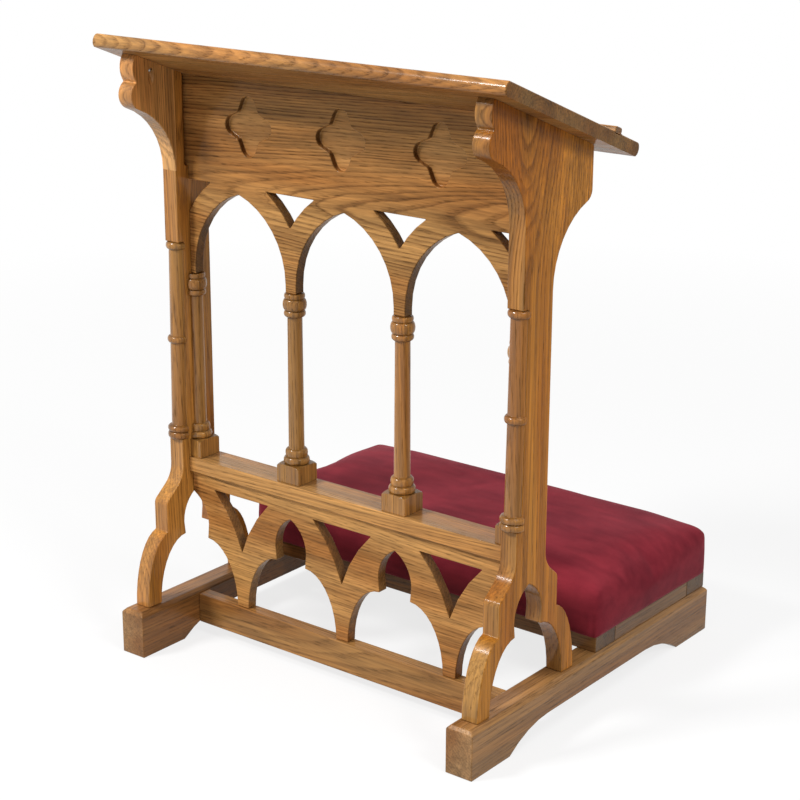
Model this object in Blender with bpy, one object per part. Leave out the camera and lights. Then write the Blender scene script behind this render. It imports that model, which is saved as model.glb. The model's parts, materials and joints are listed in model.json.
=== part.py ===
"""Oak prie-dieu: a padded kneeler joined to a sloping desk on an arcaded Gothic front.

Metres, +Z up. X runs along the width, -Y faces the carved front and +Y the person who kneels. The origin is
on the floor below the middle of the bounding box. Heights stack up from the floor: runners, legs, rail,
colonnettes, arches, frieze and desk, so a change of one of them moves everything above it.
"""

import math

import bmesh
import bpy
from mathutils import Matrix, Vector

# Clearance between pieces that touch, and how finely curves are cut into facets
CLEARANCE = 0.0003
ARC_STEP = math.radians(10)
LATHE_STEPS = 16
SCREW_STEPS = 10
TORUS_STEPS = 6
PAD_SIDE_CUTS = 5
PAD_CORNER_CUTS = 4
PAD_CROWN_CUTS = 3

# Runners: the two sledge feet that lie along the depth
RUNNER_LENGTH = 0.5425
RUNNER_WIDTH = 0.038
RUNNER_HEIGHT = 0.0624
RUNNER_CHAMFER = 0.005
FOOT_LENGTH = 0.0775
FOOT_ARCH_RISE = 0.0257
FOOT_ARCH_RADIUS = 0.140

# Standards: the two sawn end boards, each with a post and a pair of flared legs
INSIDE_WIDTH = 0.5078
STANDARD_THICKNESS = 0.023
TOE_SETBACK = 0.0200
LEG_SPREAD = 0.1002
KNEE_SPREAD = 0.0605
KNEE_HEIGHT = 0.1311
LOBE_RISE = 0.0955
LOBE_TUCK = 0.005
FLARE_COVE = 0.033
FLARE_SLOPE = math.radians(50)
FLARE_CORNER = 0.010
POST_LEAN = 0.0045
POST_DEPTH = 0.058
BLOCK_PROUD = 0.0035
COLUMN_REBATE = 0.0075
COLUMN_LEAN = 0.0025

# Trefoil opening between the legs
OPENING_BASE = 0.0757
OPENING_HEAD_WIDTH = 0.0285
OPENING_CUSP_WIDTH = 0.0265
OPENING_CUSP_HEIGHT = 0.0830
OPENING_STILT = 0.0175
OPENING_RISE = 0.0420

# Scrolled bracket on the front of each post, and the plain sweep behind it
BRACKET_REACH = 0.0718
BRACKET_DROP = 0.127
BRACKET_REBATE = 0.0025
ROLL_RADIUS = 0.0185
ROLL_NOTCH = math.radians(120)
UPPER_ROLL_BULGE = 0.0055
COVE_RADIUS = 0.089
REAR_REACH = 0.076
REAR_DROP = 0.1847
REAR_COVE_RADIUS = 0.096
REAR_CORNER = 0.0105
REAR_CORNER_HEIGHT = 0.0147
REAR_CORNER_BULGE = 0.003

# Stretcher between the runners
STRETCHER_HEIGHT = 0.0405
STRETCHER_THICKNESS = 0.0185
STRETCHER_DROP = 0.006
STRETCHER_FRONT = 0.0035
TENON_LENGTH = 0.016
TENON_SHOULDER = 0.0042

# Rail that carries the colonnettes
RAIL_RISE = 0.1882
RAIL_THICKNESS = 0.0195
RAIL_DEPTH = 0.0425

# Lower tracery between stretcher and rail
BAYS = 3
TRACERY_THICKNESS = 0.015
TRACERY_FRONT = 0.0147
TRACERY_FOOT = 0.0195
TRACERY_HEAD_WIDTH = 0.0256
TRACERY_CUSP_WIDTH = 0.0238
TRACERY_CUSP_HEIGHT = 0.0828
TRACERY_STILT = 0.0202
TRACERY_RISE = 0.0415
VEE_WIDTH = 0.094
VEE_BAND = 0.0203
VEE_HEIGHT = 0.0763
VEE_BULGE = 0.0055

# Turned colonnettes, each on its own square plinth
COLUMN_HEIGHT = 0.246
PLINTH_WIDTH = 0.036
PLINTH_SQUARE = 0.0200
PLINTH_SHOULDER = 0.0040
BASE_RADIUS = 0.0166
BASE_HEIGHT = 0.0095
BASE_SEAT = 0.0145
BASE_CREASE = 0.0130
UPPER_BASE_RADIUS = 0.0143
UPPER_BASE_HEIGHT = 0.0108
SHAFT_FOOT_RADIUS = 0.0101
SHAFT_TOP_RADIUS = 0.0094
NECKING_RADIUS = 0.0137
NECKING_HEIGHT = 0.0085
CAPITAL_RADIUS = 0.0151
CAPITAL_HEIGHT = 0.0150
ABACUS_RADIUS = 0.0131
ABACUS_HEIGHT = 0.0066
CAPITAL_CREASE = 0.0117
PIN_RADIUS = 0.0042
PIN_LENGTH = 0.010

# Half columns let into the front edge of the posts
HALF_SHAFT_RADIUS = 0.0110
HALF_RING_RADIUS = 0.0146
HALF_RING_HEIGHT = 0.0098
HALF_FOOT_RADIUS = 0.0162
HALF_FOOT_HEIGHT = 0.0090
HALF_CREASE = 0.0135
HALF_COLUMN_FOOT = 0.0265
HALF_COLUMN_TOP = 0.0430
HALF_RING_RISE = 0.1335

# Arcade and frieze, sawn from one board
PANEL_THICKNESS = 0.015
SPRINGER_WIDTH = 0.0175
ARCH_STILT = 0.0100
ARCH_RADIUS = 0.1078
RIB_WIDTH = 0.029
SPANDREL_BAND = 0.0093
FRIEZE_HEIGHT = 0.132
QUATREFOIL_DROP = 0.055
QUATREFOIL_PITCH = 0.1462
QUATREFOIL_SHIFT = -0.004
QUATREFOIL_DEPTH = 0.007
LOBE_TIP_RADIUS = 0.0122
LOBE_TIP_REACH = 0.0252
LOBE_SHOULDER = 0.0243
LOBE_HOLLOW = 0.0055
GROOVE_DEPTH = 0.006
GROOVE_SLACK = 0.006
GROOVE_CORNER = 0.005
GROOVE_STOP = 0.1145

# Sloping desk top and its book ledge
DESK_TILT = math.radians(21.1)
DESK_THICKNESS = 0.0166
DESK_LENGTH = 0.277
DESK_OVERHANG = 0.0281
DESK_FRONT = 0.1045
DESK_NOSE = 0.0055
LEDGE_WIDTH = 0.014
LEDGE_HEIGHT = 0.0065
LEDGE_INSET = 0.0405
LEDGE_ROUND = 0.003
LEDGE_HOUSING = 0.0015

# Kneeler: a rail frame on the runners, with a board, foam and a velvet cover on it
KNEELER_GAP = 0.0486
KNEELER_BACK_INSET = 0.0035
KNEELER_SIDE_INSET = 0.005
KNEELER_RAIL_WIDTH = 0.045
KNEELER_RAIL_HEIGHT = 0.021
PAD_OVERHANG = 0.0035
PAD_FRONT_OVERHANG = 0.0065
PAD_HEIGHT = 0.0705
PAD_CORNER = 0.009
PAD_SHOULDER = 0.014
PAD_CROWN = 0.0035
PAD_TUCK = 0.003
COVER_THICKNESS = 0.002
HEM_WIDTH = 0.018
HEM_THICKNESS = 0.0012
BOARD_THICKNESS = 0.012

# Dowels and screws
DOWEL_RADIUS = 0.004
DOWEL_BITE = 0.015
FOOT_DOWEL_RADIUS = 0.003
FOOT_DOWEL_BITE = 0.012
SHANK_RADIUS = 0.0022
HEAD_RADIUS = 0.0045
HEAD_HEIGHT = 0.003
RUNNER_GRIP = 0.030
LEG_SCREW_BITE = 0.030
FRAME_SCREW_BITE = 0.015
PAD_SCREW_GRIP = 0.013
PAD_SCREW_BITE = 0.008
PAD_SCREW_SPREAD = 0.150
POCKET_RADIUS = 0.004
POCKET_TILT = math.radians(20)
POCKET_CENTRE = 0.0032
POCKET_COVER = 0.0105
POCKET_SCREW_BITE = 0.009
POCKET_HEAD_RADIUS = 0.0034
POCKET_SHANK_RADIUS = 0.0018
FRONT_POCKET = 0.0375
REAR_POCKET = 0.0425

# Places worked out from the sizes above
BAY = INSIDE_WIDTH / BAYS
STANDARD_X = INSIDE_WIDTH / 2 + STANDARD_THICKNESS / 2
LEG_AXIS_Y = -RUNNER_LENGTH / 2 + TOE_SETBACK + LEG_SPREAD
ARCADE_Y = LEG_AXIS_Y + POST_LEAN
POST_FRONT = ARCADE_Y - POST_DEPTH / 2
POST_BACK = ARCADE_Y + POST_DEPTH / 2
COLUMN_SEAT = POST_FRONT + COLUMN_REBATE
STRETCHER_TOP = RUNNER_HEIGHT - STRETCHER_DROP
RAIL_TOP = RUNNER_HEIGHT + RAIL_RISE
RAIL_BOTTOM = RAIL_TOP - RAIL_THICKNESS
TRACERY_Y = ARCADE_Y - TRACERY_FRONT + TRACERY_THICKNESS / 2
STRETCHER_Y = TRACERY_Y - TRACERY_THICKNESS / 2 - STRETCHER_FRONT + STRETCHER_THICKNESS / 2
COLUMN_TOP = RAIL_TOP + COLUMN_HEIGHT
SPRING_HEIGHT = COLUMN_TOP + ARCH_STILT
ARCH_HALF = BAY / 2 - SPRINGER_WIDTH / 2
ARCH_OFFSET = ARCH_RADIUS - ARCH_HALF
ARCH_APEX = SPRING_HEIGHT + math.sqrt(ARCH_RADIUS**2 - ARCH_OFFSET**2)
SPANDREL_TOP = ARCH_APEX + SPANDREL_BAND
PANEL_FRONT = ARCADE_Y - PANEL_THICKNESS / 2
PANEL_BACK = ARCADE_Y + PANEL_THICKNESS / 2
DESK_EAVE = SPANDREL_TOP + FRIEZE_HEIGHT
DESK_DOWN = Vector((0, math.cos(DESK_TILT), -math.sin(DESK_TILT)))
DESK_NORMAL = Vector((0, math.sin(DESK_TILT), math.cos(DESK_TILT)))
DESK_HALF = STANDARD_X + STANDARD_THICKNESS / 2 + DESK_OVERHANG
KNEELER_HALF = STANDARD_X + RUNNER_WIDTH / 2 - KNEELER_SIDE_INSET
KNEELER_BACK = RUNNER_LENGTH / 2 - KNEELER_BACK_INSET
KNEELER_FRONT = LEG_AXIS_Y + LEG_SPREAD + KNEELER_GAP
KNEELER_DEPTH = KNEELER_BACK - KNEELER_FRONT
KNEELER_TOP = RUNNER_HEIGHT + CLEARANCE + KNEELER_RAIL_HEIGHT
PAD_BOTTOM = KNEELER_TOP + CLEARANCE
BOARD_BOTTOM = PAD_BOTTOM + HEM_THICKNESS + CLEARANCE
BOARD_TOP = BOARD_BOTTOM + BOARD_THICKNESS
SIDES = {"left": -1, "right": 1}

# Objects that holes are drilled in: name of the piece and the cutters that go into it
cutters = {}


def desk_underside(y):
    """Height of the desk's underside at a place along the depth."""
    return DESK_EAVE - (y - PANEL_FRONT) * math.tan(DESK_TILT)


def arc(centre, radius, start, end):
    """Points along a circle from one angle to another, both ends included."""
    count = max(2, math.ceil(abs(end - start) / ARC_STEP))
    angles = [start + (end - start) * k / count for k in range(count + 1)]
    return [(centre[0] + radius * math.cos(a), centre[1] + radius * math.sin(a)) for a in angles]


def ellipse(centre, wide, high, start, end):
    """Points along an ellipse from one angle to another, both ends included."""
    around = arc((0, 0), 1, start, end)
    return [(centre[0] + wide * u, centre[1] + high * v) for u, v in around]


def bowed(first, last, bulge):
    """Arc between two points that stands off its chord by the bulge, to the left where that is positive."""
    a, b = Vector(first), Vector(last)
    chord = b - a
    half = chord.length / 2
    radius = (half**2 + bulge**2) / (2 * abs(bulge))
    left = Vector((-chord.y, chord.x)).normalized() * math.copysign(1, bulge)
    centre = (a + b) / 2 + left * (abs(bulge) - radius)
    start = math.atan2(*(a - centre).yx)
    turn = 2 * math.asin(half / radius) * -math.copysign(1, bulge)
    return arc(centre, radius, start, start + turn)


def flare(post, knee, knee_top):
    """Edge that leaves a post in a cove, runs out on a slope and turns down onto the knee of a leg."""
    across = abs(knee - post)
    bends = FLARE_COVE + FLARE_CORNER
    slope = (across - bends * (1 - math.cos(FLARE_SLOPE))) / math.sin(FLARE_SLOPE)
    top = knee_top + bends * math.sin(FLARE_SLOPE) + slope * math.cos(FLARE_SLOPE)
    cove = arc((FLARE_COVE, top), FLARE_COVE, math.pi, math.pi + FLARE_SLOPE)
    corner = arc((across - FLARE_CORNER, knee_top), FLARE_CORNER, FLARE_SLOPE, 0)
    return moved(cove + corner, post, flip=math.copysign(1, knee - post))


def trefoil_half(base, head_width, cusp_width, cusp_height, stilt, rise):
    """Half of a cusped arch, from the apex on its axis down to the foot of the side at (base, 0)."""
    spring = cusp_height + stilt
    radius = (head_width**2 + rise**2) / (2 * head_width)
    centre = (head_width - radius, spring)
    upper = arc(centre, radius, math.asin(rise / radius), 0)
    lower = ellipse((cusp_width, 0), base - cusp_width, cusp_height, math.pi / 2, 0)
    return upper + lower


def moved(points, across=0.0, up=0.0, flip=1):
    """The points mirrored where flip is -1, then shifted."""
    return [(flip * u + across, v + up) for u, v in points]


def without_doubles(points):
    """The outline without points that lie on the one before them."""
    near = 1e-6
    kept = [points[0]]
    for point in points[1:]:
        if math.dist(point, kept[-1]) > near:
            kept.append(point)
    return kept[:-1] if math.dist(kept[0], kept[-1]) <= near else kept


def material(name, colour, roughness, metallic=0.0):
    finish = bpy.data.materials.new(name)
    finish.use_nodes = True
    shader = finish.node_tree.nodes["Principled BSDF"]
    shader.inputs["Base Color"].default_value = (*colour, 1)
    shader.inputs["Roughness"].default_value = roughness
    shader.inputs["Metallic"].default_value = metallic
    return finish


def add_object(name, bm, finish, place=None):
    """Puts the mesh into the scene as a named sub-part of the kneeler, at its place."""
    bmesh.ops.recalc_face_normals(bm, faces=bm.faces)
    mesh = bpy.data.meshes.new(name)
    bm.to_mesh(mesh)
    bm.free()
    obj = bpy.data.objects.new(name, mesh)
    obj.data.materials.append(finish)
    obj.matrix_world = place or Matrix.Identity(4)
    obj.parent = assembly
    bpy.context.scene.collection.objects.link(obj)
    return obj


def sawn_mesh(outline, axis, low, high, openings=()):
    """Board sawn to an outline, with openings right through it, between two planes across the axis."""
    spread = {
        "X": lambda u, v: (low, u, v),
        "Y": lambda u, v: (u, low, v),
        "Z": lambda u, v: (u, v, low),
    }[axis]
    bm = bmesh.new()
    edges = []
    for loop in (outline, *openings):
        corners = [bm.verts.new(spread(*point)) for point in without_doubles(loop)]
        edges += [bm.edges.new((corners[k - 1], corners[k])) for k in range(len(corners))]
    bmesh.ops.triangle_fill(bm, use_beauty=True, edges=edges)
    along = Vector([float(letter == axis) for letter in "XYZ"]) * (high - low)
    raised = bmesh.ops.extrude_face_region(bm, geom=bm.faces[:])
    bmesh.ops.translate(bm, vec=along, verts=[v for v in raised["geom"] if isinstance(v, bmesh.types.BMVert)])
    bmesh.ops.recalc_face_normals(bm, faces=bm.faces)
    return bm


def block_mesh(low, high):
    """Square block between two corners."""
    outline = [(low[0], low[1]), (high[0], low[1]), (high[0], high[1]), (low[0], high[1])]
    return sawn_mesh(outline, "Z", low[2], high[2])


def turned_mesh(profile, steps, square=None):
    """Piece turned about Z from (radius, height) points, bottom first. Where the turning is wider than the
    square that it was cut from, the square's own sides are left."""
    bm = bmesh.new()
    rings = []
    for radius, height in profile:
        ring = []
        for k in range(steps):
            angle = 2 * math.pi * k / steps
            across, along = math.cos(angle), math.sin(angle)
            reach = radius
            if square:
                reach = min(radius, square / 2 / max(abs(across), abs(along)))
            ring.append(bm.verts.new((reach * across, reach * along, height)))
        rings.append(ring)
    for lower, upper in zip(rings, rings[1:]):
        for k in range(steps):
            bm.faces.new((lower[k - 1], lower[k], upper[k], upper[k - 1]))
    bm.faces.new(rings[0][::-1])
    bm.faces.new(rings[-1])
    bmesh.ops.recalc_face_normals(bm, faces=bm.faces)
    return bm


def split(bm, point, normal):
    """Saws the mesh along a plane and keeps the side that the normal points away from."""
    geometry = bm.verts[:] + bm.edges[:] + bm.faces[:]
    cut = bmesh.ops.bisect_plane(bm, geom=geometry, plane_co=point, plane_no=normal, clear_outer=True)
    sawn = [item for item in cut["geom_cut"] if isinstance(item, bmesh.types.BMEdge)]
    bmesh.ops.edgeloop_fill(bm, edges=sawn)
    bmesh.ops.triangulate(bm, faces=bm.faces)
    return bm


def smooth(obj):
    obj.data.shade_smooth()
    obj.data.set_sharp_from_angle(angle=math.radians(40))


def cut(bm, *pieces, place=None):
    """Notes the mesh as a cut into each named piece."""
    if place:
        bm.transform(place)
    for piece in pieces:
        cutters.setdefault(piece, []).append(bm.copy())
    bm.free()


def make_cuts():
    """Gives every noted piece one Boolean with all of its cuts."""
    for piece, meshes in cutters.items():
        joined = bpy.data.meshes.new(piece + "_cuts")
        bm = bmesh.new()
        for part in meshes:
            part.to_mesh(joined)
            part.free()
            bm.from_mesh(joined)
        bm.to_mesh(joined)
        bm.free()
        tool = bpy.data.objects.new(piece + "_cuts", joined)
        tool.hide_render = True
        tool.display_type = "WIRE"
        tool.parent = assembly
        bpy.context.scene.collection.objects.link(tool)
        boolean = bpy.data.objects[piece].modifiers.new("cuts", "BOOLEAN")
        boolean.operation = "DIFFERENCE"
        boolean.object = tool


def make_runner(side):
    name = side + "_runner"
    half = RUNNER_LENGTH / 2
    heel = half - FOOT_LENGTH
    reach = math.acos(1 - FOOT_ARCH_RISE / FOOT_ARCH_RADIUS)
    crown = heel - FOOT_ARCH_RADIUS * math.sin(reach)
    centre_height = FOOT_ARCH_RISE - FOOT_ARCH_RADIUS
    curve = arc((crown, centre_height), FOOT_ARCH_RADIUS, math.pi / 2, math.pi / 2 - reach)
    rear = curve + [(half, 0), (half, RUNNER_HEIGHT)]
    outline = rear + moved(rear, flip=-1)[::-1]
    middle = SIDES[side] * STANDARD_X
    bm = sawn_mesh(outline, "X", middle - RUNNER_WIDTH / 2, middle + RUNNER_WIDTH / 2)
    level = RUNNER_HEIGHT - RUNNER_CHAMFER / 2
    rim = [e for e in bm.edges if min(v.co.z for v in e.verts) > level and len(e.link_faces) == 2]
    rim = [e for e in rim if e.calc_face_angle() > math.radians(45)]
    bmesh.ops.bevel(bm, geom=rim, offset=RUNNER_CHAMFER, segments=1, affect="EDGES", profile=0.5)
    add_object(name, bm, oak)


def make_stretcher():
    """Stretcher whose tenons go into the inner faces of the runners."""
    ends = STANDARD_X - RUNNER_WIDTH / 2 - CLEARANCE
    front = STRETCHER_Y - STRETCHER_THICKNESS / 2
    bottom = STRETCHER_TOP - STRETCHER_HEIGHT
    bm = block_mesh((-ends, front, bottom), (ends, front + STRETCHER_THICKNESS, STRETCHER_TOP))
    bmesh.ops.dissolve_limit(bm, angle_limit=math.radians(1), verts=bm.verts, edges=bm.edges)
    for sign in SIDES.values():
        end_face = [f for f in bm.faces if f.normal.x * sign > 0.5]
        bmesh.ops.inset_individual(bm, faces=end_face, thickness=TENON_SHOULDER, use_even_offset=True)
        tenon = bmesh.ops.extrude_discrete_faces(bm, faces=end_face)["faces"][0]
        bmesh.ops.translate(bm, vec=(sign * TENON_LENGTH, 0, 0), verts=tenon.verts)
    add_object("front_stretcher", bm, oak)
    shoulder = TENON_SHOULDER - CLEARANCE
    for side, sign in SIDES.items():
        across = sorted((sign * ends, sign * (ends + TENON_LENGTH + CLEARANCE)))
        low = (across[0], front + shoulder, bottom + shoulder)
        high = (across[1], front + STRETCHER_THICKNESS - shoulder, STRETCHER_TOP - shoulder)
        cut(block_mesh(low, high), side + "_runner")


def leg_lobe():
    """Swelling foot of a leg behind the axis of the legs, from the knee down to the toe."""
    reach = LEG_SPREAD - KNEE_SPREAD + LOBE_TUCK
    centre = (KNEE_SPREAD - LOBE_TUCK, RUNNER_HEIGHT + CLEARANCE)
    return ellipse(centre, reach, LOBE_RISE, math.acos(LOBE_TUCK / reach), 0)


def standard_outline():
    """Outline of a standard in Y and Z, without its bracket, clockwise from the top of the glue line."""
    foot = RUNNER_HEIGHT + CLEARANCE
    knee_top = RUNNER_HEIGHT + KNEE_HEIGHT
    lobe = leg_lobe()
    glue = POST_FRONT + BRACKET_REBATE
    cove_foot = desk_underside(POST_FRONT) - BRACKET_DROP
    rear_foot = desk_underside(POST_BACK) - REAR_DROP
    column_foot = RAIL_TOP + HALF_COLUMN_FOOT
    column_top = COLUMN_TOP + HALF_COLUMN_TOP
    block = POST_FRONT - BLOCK_PROUD
    knee_front = LEG_AXIS_Y - KNEE_SPREAD
    knee_back = LEG_AXIS_Y + KNEE_SPREAD
    rear = POST_BACK + REAR_REACH
    rear_centre = POST_BACK + REAR_COVE_RADIUS
    cove_end = math.acos((rear_centre - rear + REAR_CORNER) / REAR_COVE_RADIUS)
    rear_cove = arc((rear_centre, rear_foot), REAR_COVE_RADIUS, math.pi, math.pi - cove_end)
    corner = (rear, rear_cove[-1][1] + REAR_CORNER_HEIGHT)
    opening = trefoil_half(
        OPENING_BASE, OPENING_HEAD_WIDTH, OPENING_CUSP_WIDTH, OPENING_CUSP_HEIGHT, OPENING_STILT, OPENING_RISE
    )
    front = [
        (glue, desk_underside(glue) - CLEARANCE),
        (glue, cove_foot),
        (POST_FRONT, cove_foot),
        (POST_FRONT, column_top),
        (COLUMN_SEAT + COLUMN_LEAN, column_top),
        (COLUMN_SEAT - COLUMN_LEAN, column_foot),
        (block, column_foot),
    ]
    front += flare(block, knee_front, knee_top)
    front += moved(lobe, LEG_AXIS_Y, flip=-1)
    arch = moved(opening, LEG_AXIS_Y, foot, flip=-1)[::-1] + moved(opening, LEG_AXIS_Y, foot)
    back = moved(lobe, LEG_AXIS_Y)[::-1]
    back += flare(POST_BACK, knee_back, knee_top)[::-1]
    back += rear_cove
    back += bowed(rear_cove[-1], corner, -REAR_CORNER_BULGE)
    back += [(rear, desk_underside(rear) - CLEARANCE)]
    return front + arch + back


def make_standard(side):
    name = side + "_standard"
    middle = SIDES[side] * STANDARD_X
    low, high = middle - STANDARD_THICKNESS / 2, middle + STANDARD_THICKNESS / 2
    add_object(name, sawn_mesh(standard_outline(), "X", low, high), oak)
    # Stopped groove for the frieze, with slack in front of the board and a rounded corner at its end
    near = PANEL_FRONT - GROOVE_SLACK
    far = PANEL_BACK + CLEARANCE
    stop = DESK_EAVE - GROOVE_STOP
    top = desk_underside(near) + GROOVE_SLACK
    corner = (near + GROOVE_CORNER, stop + GROOVE_CORNER)
    outline = arc(corner, GROOVE_CORNER, math.pi, 1.5 * math.pi) + [(far, stop), (far, top), (near, top)]
    inside = SIDES[side] * INSIDE_WIDTH / 2
    ends = sorted((inside - SIDES[side] * GROOVE_DEPTH, inside + SIDES[side] * GROOVE_DEPTH))
    cut(sawn_mesh(outline, "X", *ends), name)


def make_bracket(side):
    """Scrolled bracket, glued to the front of the post: two rolls over a long cove."""
    name = side + "_bracket"
    glue = POST_FRONT + BRACKET_REBATE - CLEARANCE
    cove_foot = desk_underside(POST_FRONT) - BRACKET_DROP
    cove_centre = Vector((POST_FRONT - COVE_RADIUS, cove_foot))
    roll_y = POST_FRONT - BRACKET_REACH + ROLL_RADIUS
    apart = COVE_RADIUS + ROLL_RADIUS
    roll_centre = Vector((roll_y, cove_foot + math.sqrt(apart**2 - (roll_y - cove_centre.x) ** 2)))
    lean = math.atan2(*(roll_centre - cove_centre).yx)
    cove = arc(cove_centre, COVE_RADIUS, 0, lean)
    roll = arc(roll_centre, ROLL_RADIUS, lean + math.pi, ROLL_NOTCH)
    notch = roll[-1]
    crown = (notch[0], desk_underside(notch[0]) - CLEARANCE)
    outline = cove + roll + bowed(notch, crown, UPPER_ROLL_BULGE)
    outline += [(glue, desk_underside(glue) - CLEARANCE), (glue, cove_foot + CLEARANCE)]
    outline[0] = (POST_FRONT, cove_foot + CLEARANCE)
    middle = SIDES[side] * STANDARD_X
    low, high = middle - STANDARD_THICKNESS / 2, middle + STANDARD_THICKNESS / 2
    smooth(add_object(name, sawn_mesh(outline, "X", low, high), oak))


def torus(radius, lower, upper, bottom, height):
    """Half-round moulding: (radius, height) points that swell between a lower and an upper crease."""
    middle = bottom + height / 2
    points = []
    for k in range(TORUS_STEPS + 1):
        angle = math.pi * (k / TORUS_STEPS - 0.5)
        crease = lower if angle < 0 else upper
        points.append((crease + (radius - crease) * math.cos(angle), middle + height / 2 * math.sin(angle)))
    return points


def half_column_profile():
    """Ringed shaft that stands on the block of the standard, as (radius, height above its foot)."""
    length = COLUMN_TOP + HALF_COLUMN_TOP - RAIL_TOP - HALF_COLUMN_FOOT - 2 * CLEARANCE
    shaft = HALF_SHAFT_RADIUS
    profile = torus(HALF_FOOT_RADIUS, HALF_CREASE, HALF_CREASE, 0, HALF_FOOT_HEIGHT)
    profile += torus(HALF_FOOT_RADIUS, HALF_CREASE, shaft, HALF_FOOT_HEIGHT, HALF_FOOT_HEIGHT)
    for bottom in (HALF_RING_RISE - HALF_RING_HEIGHT / 2, length - HALF_RING_HEIGHT):
        profile += torus(HALF_RING_RADIUS, shaft, shaft, bottom, HALF_RING_HEIGHT)
    return without_doubles(profile)


def make_half_column(side):
    """Split turning that is let into the front edge of a post, with its flat back on the post."""
    bm = turned_mesh(half_column_profile(), LATHE_STEPS)
    split(bm, (0, -CLEARANCE, 0), (0, 1, 0))
    foot = RAIL_TOP + HALF_COLUMN_FOOT + CLEARANCE
    rise = COLUMN_TOP + HALF_COLUMN_TOP - RAIL_TOP - HALF_COLUMN_FOOT
    lean = Matrix.Rotation(-math.atan2(2 * COLUMN_LEAN, rise), 4, "X")
    place = Matrix.Translation((SIDES[side] * STANDARD_X, COLUMN_SEAT - COLUMN_LEAN, foot)) @ lean
    smooth(add_object(side + "_half_column", bm, oak, place))


def make_rail():
    ends = INSIDE_WIDTH / 2 - CLEARANCE
    low = (-ends, ARCADE_Y - RAIL_DEPTH / 2, RAIL_BOTTOM)
    high = (ends, ARCADE_Y + RAIL_DEPTH / 2, RAIL_TOP)
    add_object("middle_rail", block_mesh(low, high), oak)
    for side, sign in SIDES.items():
        for row, shift in {"front": -1, "rear": 1}.items():
            place = Matrix.Translation((
                sign * INSIDE_WIDTH / 2,
                ARCADE_Y + shift * RAIL_DEPTH / 4,
                RAIL_BOTTOM + RAIL_THICKNESS / 2,
            ))
            turn = Matrix.Rotation(math.pi / 2, 4, "Y")
            dowel(f"rail_dowel_{side}_{row}", place @ turn, DOWEL_RADIUS, DOWEL_BITE,
                  "middle_rail", side + "_standard")


def make_tracery():
    """Row of cusped arches whose feet stand on the stretcher, pierced by a vee over each foot."""
    base = STRETCHER_TOP + CLEARANCE
    top = RAIL_BOTTOM - CLEARANCE
    end = INSIDE_WIDTH / 2 - CLEARANCE
    half_arch = trefoil_half(
        BAY / 2 - TRACERY_FOOT / 2, TRACERY_HEAD_WIDTH, TRACERY_CUSP_WIDTH,
        TRACERY_CUSP_HEIGHT, TRACERY_STILT, TRACERY_RISE
    )
    outline = [(end, top), (-end, top)]
    for k in range(BAYS + 1):
        axis = (k - BAYS / 2) * BAY
        falling = moved(half_arch, axis, base)
        rising = moved(half_arch, axis, base, flip=-1)[::-1]
        outline += rising if k else [(-end, falling[0][1])]
        outline += falling[1:] if k < BAYS else []
    outline = [(max(-end, min(end, u)), v) for u, v in outline]
    vees = []
    vee_top = top - VEE_BAND
    for k in range(BAYS):
        axis = (k + 0.5 - BAYS / 2) * BAY
        tip = (axis, vee_top - VEE_HEIGHT)
        right = (axis + VEE_WIDTH / 2, vee_top)
        left = (axis - VEE_WIDTH / 2, vee_top)
        vees.append(bowed(tip, right, VEE_BULGE) + bowed(left, tip, VEE_BULGE))
        stand = Matrix.Translation((axis, TRACERY_Y, STRETCHER_TOP))
        dowel(f"tracery_dowel_{k + 1}", stand, FOOT_DOWEL_RADIUS, FOOT_DOWEL_BITE,
              "lower_tracery", "front_stretcher")
    front = TRACERY_Y - TRACERY_THICKNESS / 2
    add_object("lower_tracery", sawn_mesh(outline, "Y", front, front + TRACERY_THICKNESS, vees), oak)


def colonnette_profile():
    """(radius, height) of a colonnette above the rail: pin, plinth, two base tori, shaft, capital and pin."""
    foot = CLEARANCE
    top = COLUMN_HEIGHT
    corner = PLINTH_WIDTH / math.sqrt(2) + CLEARANCE
    base = foot + PLINTH_SQUARE + PLINTH_SHOULDER
    upper_base = base + BASE_HEIGHT
    abacus = top - ABACUS_HEIGHT
    capital = abacus - CAPITAL_HEIGHT
    necking = capital - NECKING_HEIGHT
    profile = [(PIN_RADIUS, -PIN_LENGTH), (PIN_RADIUS, foot), (corner, foot)]
    lip = foot + PLINTH_SQUARE - PLINTH_SHOULDER
    profile += torus(corner, corner, BASE_RADIUS, lip, 2 * PLINTH_SHOULDER)[TORUS_STEPS // 2:]
    profile += torus(BASE_RADIUS, BASE_SEAT, BASE_CREASE, base, BASE_HEIGHT)
    profile += torus(UPPER_BASE_RADIUS, BASE_CREASE, SHAFT_FOOT_RADIUS, upper_base, UPPER_BASE_HEIGHT)
    profile += torus(NECKING_RADIUS, SHAFT_TOP_RADIUS, CAPITAL_CREASE, necking, NECKING_HEIGHT)
    profile += torus(CAPITAL_RADIUS, CAPITAL_CREASE, CAPITAL_CREASE, capital, CAPITAL_HEIGHT)
    profile += torus(ABACUS_RADIUS, CAPITAL_CREASE, CAPITAL_CREASE, abacus, ABACUS_HEIGHT)
    profile += [(PIN_RADIUS, top), (PIN_RADIUS, top + PIN_LENGTH)]
    return without_doubles(profile)


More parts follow.
